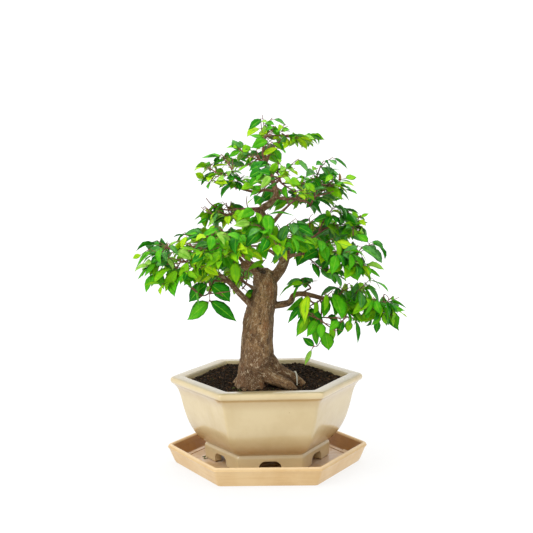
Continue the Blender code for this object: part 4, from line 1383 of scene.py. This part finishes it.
def leaves_of(name):
    """(root, ahead, face, length, width, tone, droop) of every leaf of a mass."""
    rng = random.Random(f"leaves {name}")
    space = SPACES[name]
    spaces = list(SPACES.values())
    shares = TONE_SHARES.get(name, USUAL_SHARES)
    size, fullness, hang, limit = HABITS.get(name, USUAL_HABIT)
    most = round(LEAF_PER_AREA * fullness / size * space.halves.x * space.halves.y / MM ** 2)
    places = []
    for number, (points, _, _) in enumerate(SPRAYS[name]):
        run = points[-2:] if number == 0 else points
        tone = pick(shares, rng)
        along = (points[-1] - points[-2]).normalized()
        places += [(side != 0, rng.random(), number, root, side, along, tone)
                   for root, side in leaf_places(run)]
    kept = []
    leaves = []
    for _, _, _, root, side, along, tone in sorted(places, key=lambda place: place[:3]):
        if len(leaves) == most:
            break
        for _ in range(LEAF_TRIES):
            ahead, face = leaf_stand(root, along, side, hang, rng)
            length = LEAF_LENGTH * size * rng.uniform(0.6, 1.22)
            width = LEAF_WIDTH * length / LEAF_LENGTH * rng.uniform(0.82, 1.15)
            blade = root + ahead * LEAF_STALK
            points, faces = leaf_plan(blade, ahead, face, length, width)
            if not all(space.holds(point, spaces, limit, LEAF_SHARE) for point in points[1:]):
                continue
            tree = BVHTree.FromPolygons(points, faces)
            if tree.overlap(WOOD_TREE) or any(tree.overlap(other) for other in kept):
                continue
            kept.append(tree)
            own = max(0, min(len(TONES) - 1, tone + rng.choice((0, 0, 0, 0, -1, 1))))
            leaves.append((root, ahead, face, length, width, TONES[own], rng.uniform(*LEAF_DROOP)))
            break
    return leaves


LEAVES = {name: leaves_of(name) for name in MASSES}
print("leaves:", {name: len(leaves) for name, leaves in LEAVES.items()},
      sum(len(leaves) for leaves in LEAVES.values()))

# %% [markdown]
# ## Leaves and twigs with a place of their own
# A few leaves stand apart from the tiers and give the tree its character: two pairs that hang
# under the left tier, the ones that close the fork, a sprig that hangs over the pot's rim and
# a dead leaf. Each is set one by one from the foot of its blade to its tip, with bare twigs
# between them, and its stalk is drawn from the nearest twig.

# %% Place the single leaves
# foot of the blade and tip, as column and row of the view; width there; depth of either end in
# mm; the way it faces; its green; and how far its end bends
PLACED_LEAVES = (
    # the two pairs that hang under the left tier
    ((207, 284), (185, 300), 17, (-62, -60), (-0.5, -0.7, 0.5), "leaf_deep", 0.5),
    ((208.5, 302), (185, 320), 17, (-63, -62), (-0.2, -0.9, 0.3), "leaf_vivid", 0.4),
    ((211, 285), (233, 300), 17, (-62, -64), (0.3, -0.8, 0.5), "leaf_deep", 0.5),
    ((210.5, 301), (238.5, 321), 14, (-63, -62), (0.3, -0.9, 0.3), "leaf_deep", 0.3),
    ((210, 286), (206, 291), 3.5, (-63, -64), (0, -1, 0.2), "leaf_pale", 0.3),
    # the left tier's end and its drooping edge
    ((141, 255), (132, 258), 5, (-46, -46), (0, -0.8, 0.6), "leaf_new", 0.3),
    ((162, 248), (144, 253), 8, (-52, -54), (-0.2, -0.8, 0.6), "leaf_grey", 0.4),
    ((168, 260), (155, 265), 10, (-62, -66), (0, -0.9, 0.4), "leaf_grey", 0.3),
    ((156, 263), (142, 276), 9, (-62, -64), (-0.4, -0.8, 0.5), "leaf_vivid", 0.4),
    ((148, 268), (135.5, 279.5), 3.5, (-56, -58), (-0.5, -0.8, 0.4), "leaf_vivid", 0.4),
    ((152, 275), (144, 293), 7.5, (-60, -62), (-0.4, -0.9, 0.2), "leaf_vivid", 0.4),
    ((157, 270), (164, 290), 9, (-64, -66), (0, -0.9, 0.3), "leaf_vivid", 0.3),
    ((177, 270), (164, 291.5), 11, (-68, -70), (-0.2, -0.9, 0.4), "leaf_fresh", 0.3),
    ((175, 277), (175, 290.5), 7, (-62, -62), (0.2, -0.9, 0.2), "leaf_deep", 0.3),
    ((188, 262), (179, 285), 10, (-70, -74), (-0.1, -0.9, 0.4), "leaf_fresh", 0.3),
    ((198, 272), (182, 285), 8, (-64, -66), (-0.1, -0.8, 0.5), "leaf_vivid", 0.4),
    ((234, 262), (237, 285), 12, (-66, -70), (0.1, -0.9, 0.3), "leaf_fresh", 0.3),
    # beside the trunk, under the left tier
    ((248, 271), (249, 281), 4, (-6, -8), (-0.6, -0.8, 0.1), "leaf_pale", 0.3),
    ((247, 291), (256, 295), 6, (-6, -10), (0.1, -0.8, 0.6), "leaf_deep", 0.4),
    ((247, 292), (250.5, 303), 7.5, (-8, -12), (0, -0.9, 0.3), "leaf_fresh", 0.4),
    # over the fork
    ((264, 261), (246.5, 268), 9, (-46, -58), (0, -0.6, 0.8), "leaf_fresh", 0.5),
    ((251, 253), (264.5, 259), 9, (-50, -56), (0, -0.6, 0.8), "leaf_new", 0.5),
    ((259, 243), (267, 259), 14, (-38, -46), (0.1, -0.9, 0.4), "leaf_vivid", 0.4),
    ((298, 240), (268, 260), 10, (-50, -60), (-0.3, -0.7, 0.7), "leaf_grey", 0.4),
    ((277, 255), (274, 264.5), 6, (-8, -12), (0, -0.9, 0.3), "leaf_fresh", 0.4),
    ((243, 250), (251, 261), 9, (-44, -52), (0, -0.8, 0.6), "leaf_fresh", 0.4),
    ((268, 246), (258, 257), 10, (-30, -38), (0, -0.8, 0.6), "leaf_deep", 0.4),
    # right of the fork
    ((299, 282), (273, 289), 6, (-34, -44), (-0.1, -0.4, 0.9), "leaf_vivid", 1),
    ((299, 283), (313, 276), 8, (-36, -30), (0, -0.6, 0.8), "leaf_deep", 0.5),
    ((301, 284), (288, 295), 4, (-36, -44), (-0.5, -0.3, 0.7), "leaf_vivid", 1),
    # under the right tier
    ((303, 305), (286, 322), 7.5, (-58, -66), (-0.4, -0.8, 0.5), "leaf_deep", 0.4),
    ((312, 312), (294.5, 336), 14, (-60, -66), (-0.3, -0.9, 0.4), "leaf_vivid", 0.4),
    ((311, 308), (323, 335), 14, (-66, -72), (0.2, -0.9, 0.4), "leaf_deep", 0.4),
    ((314, 327), (317.5, 347), 7, (-60, -62), (0, -1, 0.2), "leaf_vivid", 0.3),
    ((325, 332), (329.5, 351), 13, (-66, -68), (0.1, -0.9, 0.3), "leaf_vivid", 0.3),
    ((331, 328), (333.5, 342), 8, (-64, -66), (0.3, -0.9, 0.2), "leaf_fresh", 0.3),
    ((343, 320), (337, 337), 8, (-60, -62), (-0.2, -0.9, 0.2), "leaf_deep", 0.3),
    ((349, 320), (348, 333), 8, (-60, -60), (0.1, -1, 0.2), "leaf_fresh", 0.3),
    ((356, 321), (360, 344), 6, (-58, -60), (0.5, -0.8, 0.1), "leaf_deep", 0.3),
    # the sprig that hangs over the rim
    ((314, 346), (302.5, 337), 7.5, (-60, -58), (-0.1, -0.9, 0.3), "leaf_deep", 0.4),
    ((311.5, 350), (303.5, 366), 5.5, (-60, -60), (-0.3, -0.9, 0.2), "leaf_pale", 0.4),
    # the right tiers' ends
    ((384, 309), (406, 309), 8, (-46, -46), (0, -0.8, 0.6), "leaf_vivid", 0.3),
    ((385, 312), (386, 325), 9, (-52, -54), (0, -0.9, 0.3), "leaf_fresh", 0.3),
    ((378, 320), (376, 334), 7, (-50, -50), (-0.2, -0.9, 0.2), "leaf_deep", 0.3),
    ((353, 299), (358, 281), 8, (-40, -36), (0, -0.9, 0.3), "leaf_grey", 0.3),
    ((365, 288), (378, 288), 7, (-36, -36), (0, -0.7, 0.7), "leaf_vivid", 0.5),
    ((361, 247), (385, 260), 12, (-56, -60), (0.1, -0.8, 0.6), "leaf_grey", 0.4),
    ((358, 246), (338, 258), 10, (-64, -70), (-0.1, -0.8, 0.6), "leaf_grey", 0.4),
    ((351, 263), (359, 281), 14, (-62, -66), (0.1, -0.9, 0.3), "leaf_vivid", 0.4),
    ((366, 268), (383, 276), 4.5, (-50, -52), (0.1, -0.8, 0.6), "leaf_vivid", 0.5),
    ((372, 242), (384, 243), 5, (-46, -46), (0, -0.7, 0.7), "leaf_deep", 0.4),
    ((368, 242), (356, 233), 9, (-48, -44), (0, -0.8, 0.5), "leaf_vivid", 0.3),
    ((358, 218), (352, 211), 5, (-34, -34), (-0.2, -0.8, 0.5), "leaf_fresh", 0.3),
    ((361, 217), (369, 213), 4, (-34, -34), (0.2, -0.8, 0.5), "leaf_fresh", 0.3),
    ((359, 221), (367, 225), 7, (-34, -36), (0.2, -0.8, 0.5), "leaf_new", 0.4),
    ((356, 225), (345, 222), 6, (-34, -36), (-0.2, -0.8, 0.5), "leaf_fresh", 0.4),
    # the crown's left shoulder and its tip
    ((239, 150), (232, 139), 8, (-16, -12), (-0.3, -0.8, 0.4), "leaf_grey", 0.3),
    ((240, 149), (240, 140), 7, (-16, -12), (0.1, -0.8, 0.4), "leaf_grey", 0.3),
    ((238, 148), (226, 146), 6, (-16, -18), (-0.3, -0.6, 0.7), "leaf_fresh", 0.4),
    ((240, 151), (228, 156), 7, (-16, -20), (-0.2, -0.8, 0.6), "leaf_vivid", 0.4),
    ((242, 151), (251, 146), 9, (-18, -20), (0.1, -0.8, 0.6), "leaf_fresh", 0.4),
    ((243, 152), (248.5, 153), 7, (-18, -22), (0.1, -0.9, 0.4), "leaf_grey", 0.4),
    ((263, 138), (250, 133.5), 6, (-20, -22), (0, -0.7, 0.7), "leaf_vivid", 0.4),
    ((268, 141), (251, 146), 10, (-22, -28), (0, -0.8, 0.6), "leaf_vivid", 0.4),
    ((270, 130), (268, 120.5), 4, (-10, -8), (-0.2, -0.8, 0.3), "leaf_vivid", 0.3),
    ((273, 133), (276, 125.5), 7, (-10, -8), (0.2, -0.8, 0.3), "leaf_vivid", 0.3),
    ((274, 134), (280, 129), 8, (-12, -12), (0.2, -0.8, 0.4), "leaf_vivid", 0.3),
    ((268, 134), (264, 129), 7, (-12, -14), (-0.2, -0.8, 0.5), "leaf_vivid", 0.3),
    ((267, 134), (257, 134.5), 4, (-14, -16), (-0.2, -0.7, 0.7), "leaf_new", 0.3),
    ((272, 143), (284, 146.5), 5, (-14, -16), (0.1, -0.5, 0.9), "leaf_fresh", 0.9),
    ((263, 155), (278, 146), 7, (-18, -22), (-0.1, -0.8, 0.5), "leaf_new", 0.4),
    # a dead leaf high on the right
    ((339.7, 173.5), (340.5, 185), 4, (-12, -14), (0.5, -0.8, 0.1), "leaf_dry", 0.5),
)
# places as column, row and depth in mm, and radius in mm at either end
BARE_TWIGS = (
    # down between the hanging pairs
    (((209.5, 282, -62), (209.5, 292, -63), (210, 302, -63)), 0.7, 0.5),
    # in the left tier
    (((203, 240, -50), (190, 250, -56), (182, 259, -60), (168, 258, -60)), 1.1, 0.6),
    (((182, 259, -60), (185, 262, -62), (172, 264, -63), (166, 264, -64)), 0.9, 0.6),
    # beside the trunk
    (((242, 289, -12), (246, 284, -9), (247, 277, -7), (247.5, 270, -6)), 1.1, 0.6),
    (((247, 277.5, -7), (239, 277.5, -9)), 0.7, 0.5),
    # over the fork
    (((250, 256.5, -48), (257, 257.5, -48), (264, 261, -46)), 1.2, 0.9),
    # long bare twig out to the left of the leader
    (((262, 208, -6), (250, 208.5, -9), (240, 209, -11), (228, 210, -13), (218, 208, -15),
      (211, 204, -16), (206, 198, -17)), 1.9, 0.6),
    (((248, 208, -9), (246.5, 202, -9), (247, 196, -8)), 0.9, 0.5),
    # right of the leader
    (((300, 202, -30), (308, 198, -32), (318, 196, -34), (328, 193, -34), (334, 191, -34)), 1.2, 0.5),
    (((353, 236, -40), (354, 225, -36), (361, 215, -34)), 0.9, 0.5),
    # up to the left shoulder
    (((254, 158, -18), (246, 154, -18), (240, 150, -16), (237, 145, -15)), 0.9, 0.5),
    # under the right tier
    (((341, 310, -62), (346, 317, -62), (333, 328, -62)), 1.2, 0.7),
    (((346, 317, -62), (354, 318, -60)), 1, 0.7),
    (((323, 335, -62), (318, 345.5, -61), (314, 346.5, -60), (311.5, 350, -60)), 0.7, 0.45),
)



def placed_leaf(foot, tip, width, depths, face, tone, droop):
    """A leaf from the places of its two ends, in the same terms as the grown ones."""
    blade, end = seen_at(*foot, depths[0]), seen_at(*tip, depths[1])
    edge = seen_at(foot[0] + width, foot[1], depths[0])
    ahead = (end - blade).normalized()
    return (blade - ahead * LEAF_STALK, ahead, Vector(face), (end - blade).length,
            (edge - blade).length, tone, droop)


PLACED = [placed_leaf(*row) for row in PLACED_LEAVES]
BARE = [([seen_at(*place) for place in places], thick * MM, thin * MM)
        for places, thick, thin in BARE_TWIGS]
print("placed:", len(PLACED), "leaves,", len(BARE), "twigs")

# %% [markdown]
# ## Bending and joining the leaves
# The template's points are moved for all leaves at once: the blade folds up from the midrib,
# its end droops on an arc, its edge waves a little, and the whole leaf is turned to its stance.
# Two joined pieces hold them, for the left and the right of the crown, so that neither is heavy.

# %% Make the joined leaf meshes
SHELL = 0.16 * MM                         # half a blade's thickness


def leaf_arrays(leaves, seed):
    """The points of many leaves, as one array of (leaf, point, 3)."""
    dice = np.random.default_rng(seed)
    count = len(leaves)
    roots = np.array([root + ahead * LEAF_STALK for root, ahead, *_ in leaves])
    ahead = np.array([leaf[1] for leaf in leaves])
    face = np.array([leaf[2] for leaf in leaves])
    side = np.cross(ahead, face)
    side /= np.linalg.norm(side, axis=1, keepdims=True)
    up = np.cross(side, ahead)
    length = np.array([leaf[3] for leaf in leaves])[:, None]
    width = np.array([leaf[4] for leaf in leaves])[:, None]
    droop = np.array([leaf[6] for leaf in leaves])[:, None]
    fold = dice.uniform(0.06, 0.55, (count, 1))
    wave = dice.uniform(0.0, 0.07, (count, 1))
    phase = dice.uniform(0, 2 * math.pi, (count, 1))
    twist = dice.uniform(-0.8, 0.8, (count, 1))
    across, along, layer = (LEAF_POINTS[:, axis][None, :] for axis in range(3))
    x = across * width / 2
    turn = droop * along
    y = length * np.sin(turn) / droop
    z = -length * (1 - np.cos(turn)) / droop
    lift = np.abs(x) * fold + wave * width * np.sin(along * 8 + phase) * np.abs(across)
    lift += twist * x * along + layer * SHELL
    z = z + lift * np.cos(turn)
    y = y + lift * np.sin(turn)
    return (roots[:, None, :] + x[..., None] * side[:, None, :] + y[..., None] * ahead[:, None, :]
            + z[..., None] * up[:, None, :])


def leaf_piece(name, leaves, nodes, seed):
    """One mesh of many leaves, each with its own green, rib and tip."""
    points = leaf_arrays(leaves, seed)
    size = len(LEAF_POINTS)
    faces = [[corner + size * number for corner in face]
             for number in range(len(leaves)) for face in LEAF_FACES]
    mesh = bpy.data.meshes.new(name)
    mesh.from_pydata(points.reshape(-1, 3).tolist(), [], faces)
    names = list(LEAF_FINISHES)
    for finish in names:
        mesh.materials.append(LEAF_FINISHES[finish])
    rng = random.Random(seed)
    slots = []
    for leaf in leaves:
        own = names.index(leaf[5])
        rib = own if leaf[5] == "leaf_dry" else names.index("leaf_rib")
        burnt = rng.random() < 0.05
        slots += [own if kind == 0 or (kind == 2 and not burnt) else rib if kind == 1
                  else names.index("leaf_tip") for kind in LEAF_KINDS]
    mesh.polygons.foreach_set("material_index", slots)
    blade = mesh.uv_layers.new(name="blade")
    corners = np.zeros(len(mesh.loops), np.int64)
    mesh.loops.foreach_get("vertex_index", corners)
    own = LEAF_POINTS[corners % size]
    flat = np.stack([own[:, 0] / 2 + 0.5, own[:, 1]], axis=1)
    blade.data.foreach_set("uv", flat.ravel())
    mesh.shade_smooth()
    piece = bpy.data.objects.new(name, mesh)
    bpy.context.scene.collection.objects.link(piece)
    return settle(piece, nodes)


def foliage_nodes(masses):
    """The solids of some masses."""
    return [name.replace("bough_", "") + "_foliage" for name in masses]


def make_leaves():
    """Two pieces of leaves, left and right of the trunk."""
    pieces = []
    left = [name for name in MASSES if SPACES[name].centre.x < 0]
    right = [name for name in MASSES if name not in left]
    for number, (title, masses) in enumerate((("leaves_left", left), ("leaves_right", right))):
        leaves = [leaf for name in masses for leaf in LEAVES[name]]
        leaves += [leaf for leaf in PLACED if (leaf[0].x < 0) == (number == 0)]
        pieces.append(leaf_piece(title, leaves, foliage_nodes(masses), 100 + number))
    return pieces


leaf_pieces = make_leaves()
print("leaf faces:", [len(piece.data.polygons) for piece in leaf_pieces])

# %% [markdown]
# ## Twigs and leaf stalks
# All the twigs are one curve object turned into a mesh, six-sided and tapering, with a kink at
# each node. The stalks are thinner still and join each blade to its twig.

# %% Make the twigs and the stalks
def make_twigs():
    """Every stem, twig, shoot and leaf stalk as one joined mesh."""
    runs = []
    for name in MASSES:
        for points, thick, thin in SPRAYS[name]:
            fine = smooth_path(points, 3)
            runs.append((fine, taper(thick, thin, len(fine))))
        for root, ahead, face, length, *_ in LEAVES[name]:
            blade = root + ahead * (LEAF_STALK + length * 0.08)
            runs.append(([root, root.lerp(blade, 0.5) + Vector((0, 0, 0.3 * MM)), blade],
                         [0.45 * MM, 0.32 * MM, 0.28 * MM]))
    for points, thick, thin in BARE:
        fine = smooth_path(points, 4)
        runs.append((fine, taper(thick, thin, len(fine))))
    nodes = [point for grown in SPRAYS.values() for points, _, _ in grown for point in points]
    nodes += [point for points, _, _ in BARE for point in points]
    finder = KDTree(len(nodes))
    for number, node in enumerate(nodes):
        finder.insert(node, number)
    finder.balance()
    for root, ahead, face, length, *_ in PLACED:
        blade = root + ahead * (LEAF_STALK + length * 0.08)
        twig = finder.find(root)[0]
        fine = smooth_path([twig, twig.lerp(root, 0.6) + Vector((0, 0, 1.2 * MM)), blade], 3)
        runs.append((fine, taper(0.6 * MM, 0.3 * MM, len(fine))))
    bm = tubes(runs, 1)
    return add_piece("twigs", bm, [TWIG_BARK], foliage_nodes(MASSES), smooth=60)


twigs = make_twigs()
print("twigs:", len(twigs.data.polygons), "faces")

# %% [markdown]
# ## The soil
# The soil is a rough bed that slopes down a little to the front, and it stands a few
# millimetres below the rim. A grid is cut to the pot's six sides by bisecting planes, given
# lumps by noise, and closed by extruding its border down. Loose crumbs, bark chips and pale
# straws lie on it; they are many, so each kind is one joined piece.

# %% Soil finish and bed
SOIL_CORNER = 117.6 * MM
SOIL_DEPTH = 16 * MM


def soil_finish(name, dark, light, pale):
    """Damp earth, from dark to light grains."""
    soil = Finish(name, Specular_IOR_Level=0.2)
    place = soil.place()
    grains = soil.clouds(place, 420, detail=4, rough=0.7)
    lumps = soil.clouds(place, 110, detail=3)
    color = soil.mix(tint(*dark), tint(*light), grains.between(0.42, 0.68))
    color = soil.mix(color, tint(*pale), soil.clouds(place, 700, detail=1).between(0.68, 0.78) * 0.55)
    normal = soil.bump(grains, 0.0016, under=soil.bump(lumps, 0.002))
    return soil.use(Base_Color=color, Roughness=0.8 + lumps * 0.2, Normal=normal).material


SOIL = soil_finish("damp_soil", (20, 12, 6), (70, 50, 30), (152, 116, 74))


def soil_height(x, y):
    """The soil's surface: a slope, lumps and crumbs."""
    here = Vector((x, y, 0))
    slope = 120.6 * MM + 0.028 * y
    lumps = noise.fractal(here * 42, 0.8, 2.0, 3) * 1.1 * MM
    crumbs = noise.fractal(here * 190, 0.8, 2.1, 3) * 1.0 * MM
    return slope + lumps + crumbs


def inside_soil(x, y, margin):
    """Whether a point lies within the six walls by a margin."""
    reach = SOIL_CORNER * math.cos(math.radians(30)) - margin
    return all(x * math.cos(turn) + y * math.sin(turn) < reach
               for turn in (math.radians(30 + 60 * k) for k in range(6)))


def make_soil():
    """The soil's bed, cut to the pot."""
    bm = bmesh.new()
    bmesh.ops.create_grid(bm, x_segments=150, y_segments=150, size=SOIL_CORNER * 1.02)
    for k in range(6):
        turn = math.radians(30 + 60 * k)
        normal = Vector((math.cos(turn), math.sin(turn), 0))
        bmesh.ops.bisect_plane(bm, geom=[*bm.verts, *bm.edges, *bm.faces],
                               plane_co=normal * SOIL_CORNER * math.cos(math.radians(30)),
                               plane_no=normal, clear_outer=True, dist=1e-6)
    for vert in bm.verts:
        vert.co.z = soil_height(vert.co.x, vert.co.y)
    border = [edge for edge in bm.edges if edge.is_boundary]
    skirt = bmesh.ops.extrude_edge_only(bm, edges=border)["geom"]
    low = [part for part in skirt if isinstance(part, bmesh.types.BMVert)]
    for vert in low:
        vert.co.z = 120 * MM - SOIL_DEPTH
        vert.co.xy *= 0.975
    bmesh.ops.contextual_create(bm, geom=[part for part in skirt if isinstance(part, bmesh.types.BMEdge)])
    bmesh.ops.recalc_face_normals(bm, faces=bm.faces)
    return add_piece("soil_bed", in_order(bm), [SOIL], ["soil"], smooth=60)


soil = make_soil()
print("soil:", len(soil.data.polygons), "faces")

# %% [markdown]
# ## Crumbs, chips and straws
# One lumpy stone of twenty faces is scattered, squashed and turned by seeded dice. Most crumbs
# are dark; a few are pale grit, bark chips or dry straws.

# %% Scatter what lies on the soil
def scatter(name, count, sizes, squash, stretch, finish, seed):
    """Joined crumbs: count, size range in mm, flattening and lengthening."""
    rng = random.Random(seed)
    bm = bmesh.new()
    made = 0
    while made < count:
        x = rng.uniform(-SOIL_CORNER, SOIL_CORNER)
        y = rng.uniform(-SOIL_CORNER, SOIL_CORNER)
        if not inside_soil(x, y, 2.5 * MM):
            continue
        size = rng.uniform(*sizes) * MM
        place = Vector((x, y, soil_height(x, y) + size * squash * 0.18))
        scale = Matrix.Diagonal((size * stretch / 2, size / 2, size * squash / 2, 1))
        tilt = Matrix.Rotation(rng.gauss(0, 0.3), 4, "X") @ Matrix.Rotation(rng.gauss(0, 0.3), 4, "Y")
        turn = Matrix.Rotation(rng.uniform(0, 2 * math.pi), 4, "Z") @ tilt
        stone = bmesh.ops.create_icosphere(bm, subdivisions=1, radius=1,
                                           matrix=Matrix.Translation(place) @ turn @ scale)
        for vert in stone["verts"]:
            vert.co += Vector(rng.uniform(-1, 1) for _ in range(3)) * size * 0.11
        made += 1
    return add_piece(name, bm, [finish], smooth=None)


GRIT = soil_finish("pale_grit", (112, 86, 54), (156, 128, 88), (186, 160, 114))
CHIP = soil_finish("bark_chip", (66, 43, 24), (120, 84, 52), (166, 128, 84))
STRAW = soil_finish("dry_straw", (150, 128, 84), (184, 164, 112), (200, 184, 140))
scattered = [
    scatter("soil_crumbs", 2100, (1.2, 4.6), 0.8, 1.25, SOIL, 1),
    scatter("soil_chips", 620, (1.2, 3.6), 0.45, 2.3, CHIP, 2),
    scatter("soil_grit", 130, (0.8, 2.0), 0.7, 1.3, GRIT, 3),
    scatter("soil_straws", 46, (0.5, 0.8), 0.6, 9.0, STRAW, 4),
]
print("scattered:", [(piece.name, len(piece.data.polygons)) for piece in scattered])

# %% [markdown]
# ## Moss
# A few tufts of moss grow where water stands: at the foot of the trunk and where the pot's
# feet meet the tray. Each tuft is a cluster of small soft lumps.

# %% Grow the moss
MOSS_PLACES = (
    # place in mm, spread and number of lumps
    ((-47, -40, 119.6), 4, 26), ((-40, -52, 119.0), 3, 14), ((-92.5, 3, 8.2), 3, 12),
    ((-91, -5, 8.2), 3, 8), ((-62, -67, 8.2), 3, 10), ((4, -50, 119.2), 4, 20),
    ((-75, 12, 121.0), 5, 10),
)


def moss_finish():
    """Dull green, browner in the hollows."""
    moss = Finish("moss")
    place = moss.place()
    tufts = moss.clouds(place, 900, detail=3)
    color = moss.mix(tint(62, 70, 22), tint(122, 138, 52), tufts.between(0.35, 0.7))
    return moss.use(Base_Color=color, Roughness=0.8 + tufts * 0.15,
                    Normal=moss.bump(tufts, 0.0012)).material


def make_moss():
    """All the moss tufts as one piece."""
    rng = random.Random(7)
    bm = bmesh.new()
    for place, spread, count in MOSS_PLACES:
        for _ in range(count):
            shift = Vector((rng.gauss(0, spread), rng.gauss(0, spread), 0)) * 0.5
            size = rng.uniform(0.5, 1.2) * MM
            bmesh.ops.create_icosphere(bm, subdivisions=1, radius=size,
                                       matrix=Matrix.Translation((Vector(place) + shift) * MM))
    return add_piece("moss", bm, [moss_finish()], smooth=180)


moss = make_moss()
print("moss:", len(moss.data.polygons), "faces")

# %% [markdown]
# ## The tie on the root
# A loop of pale plastic-coated wire holds the right root down, with both ends in the soil.

# %% Bend the tie over its root
TIE_ROOT = 1
TIE_AT = 0.78
TIE_SLACK = 2.2 * MM
TIE_SKEW = math.radians(18)               # the loop is not quite square to its root
TIE_WIRE = 1.05 * MM                      # radius of the coated wire


def make_tie():
    """Two upright legs and a half round over the root."""
    start, legs, thick, thin = ROOTS[TIE_ROOT]
    path = smooth_path(run_legs(Vector(start) * MM, legs), COARSE_STEPS)
    middle = point_along(path, TIE_AT)
    around = (thick + (thin - thick) * TIE_AT) * MM + TIE_SLACK
    run = path[-1] - path[0]
    across = Matrix.Rotation(TIE_SKEW, 3, "Z") @ run.cross(Vector((0, 0, 1))).normalized()
    steepness = run.length / Vector((run.x, run.y, 0)).length
    foot = Vector((middle.x, middle.y, GROUND - 3 * MM))
    loop = [foot + across * around]
    for step in range(9):
        turn = math.pi * step / 8
        lift = Vector((0, 0, around * steepness * math.sin(turn)))
        loop.append(middle + across * around * math.cos(turn) + lift)
    loop.append(foot - across * around)
    path = smooth_path(loop, 5)
    coat = Finish("tie_coat", Specular_IOR_Level=0.4)
    scuffs = coat.clouds(coat.place(), 700, detail=3)
    coat.use(Base_Color=coat.mix(tint(206, 203, 188), tint(176, 170, 150), scuffs.between(0.4, 0.7)),
             Roughness=0.4 + scuffs * 0.3, Normal=coat.bump(scuffs, 0.0002))
    bm = tubes([(path, [TIE_WIRE] * len(path))], 3)
    return add_piece("tie_wire", bm, [coat.material], ["root_tie"], smooth=60)


tie = make_tie()
print("tie:", len(tie.data.polygons), "faces")
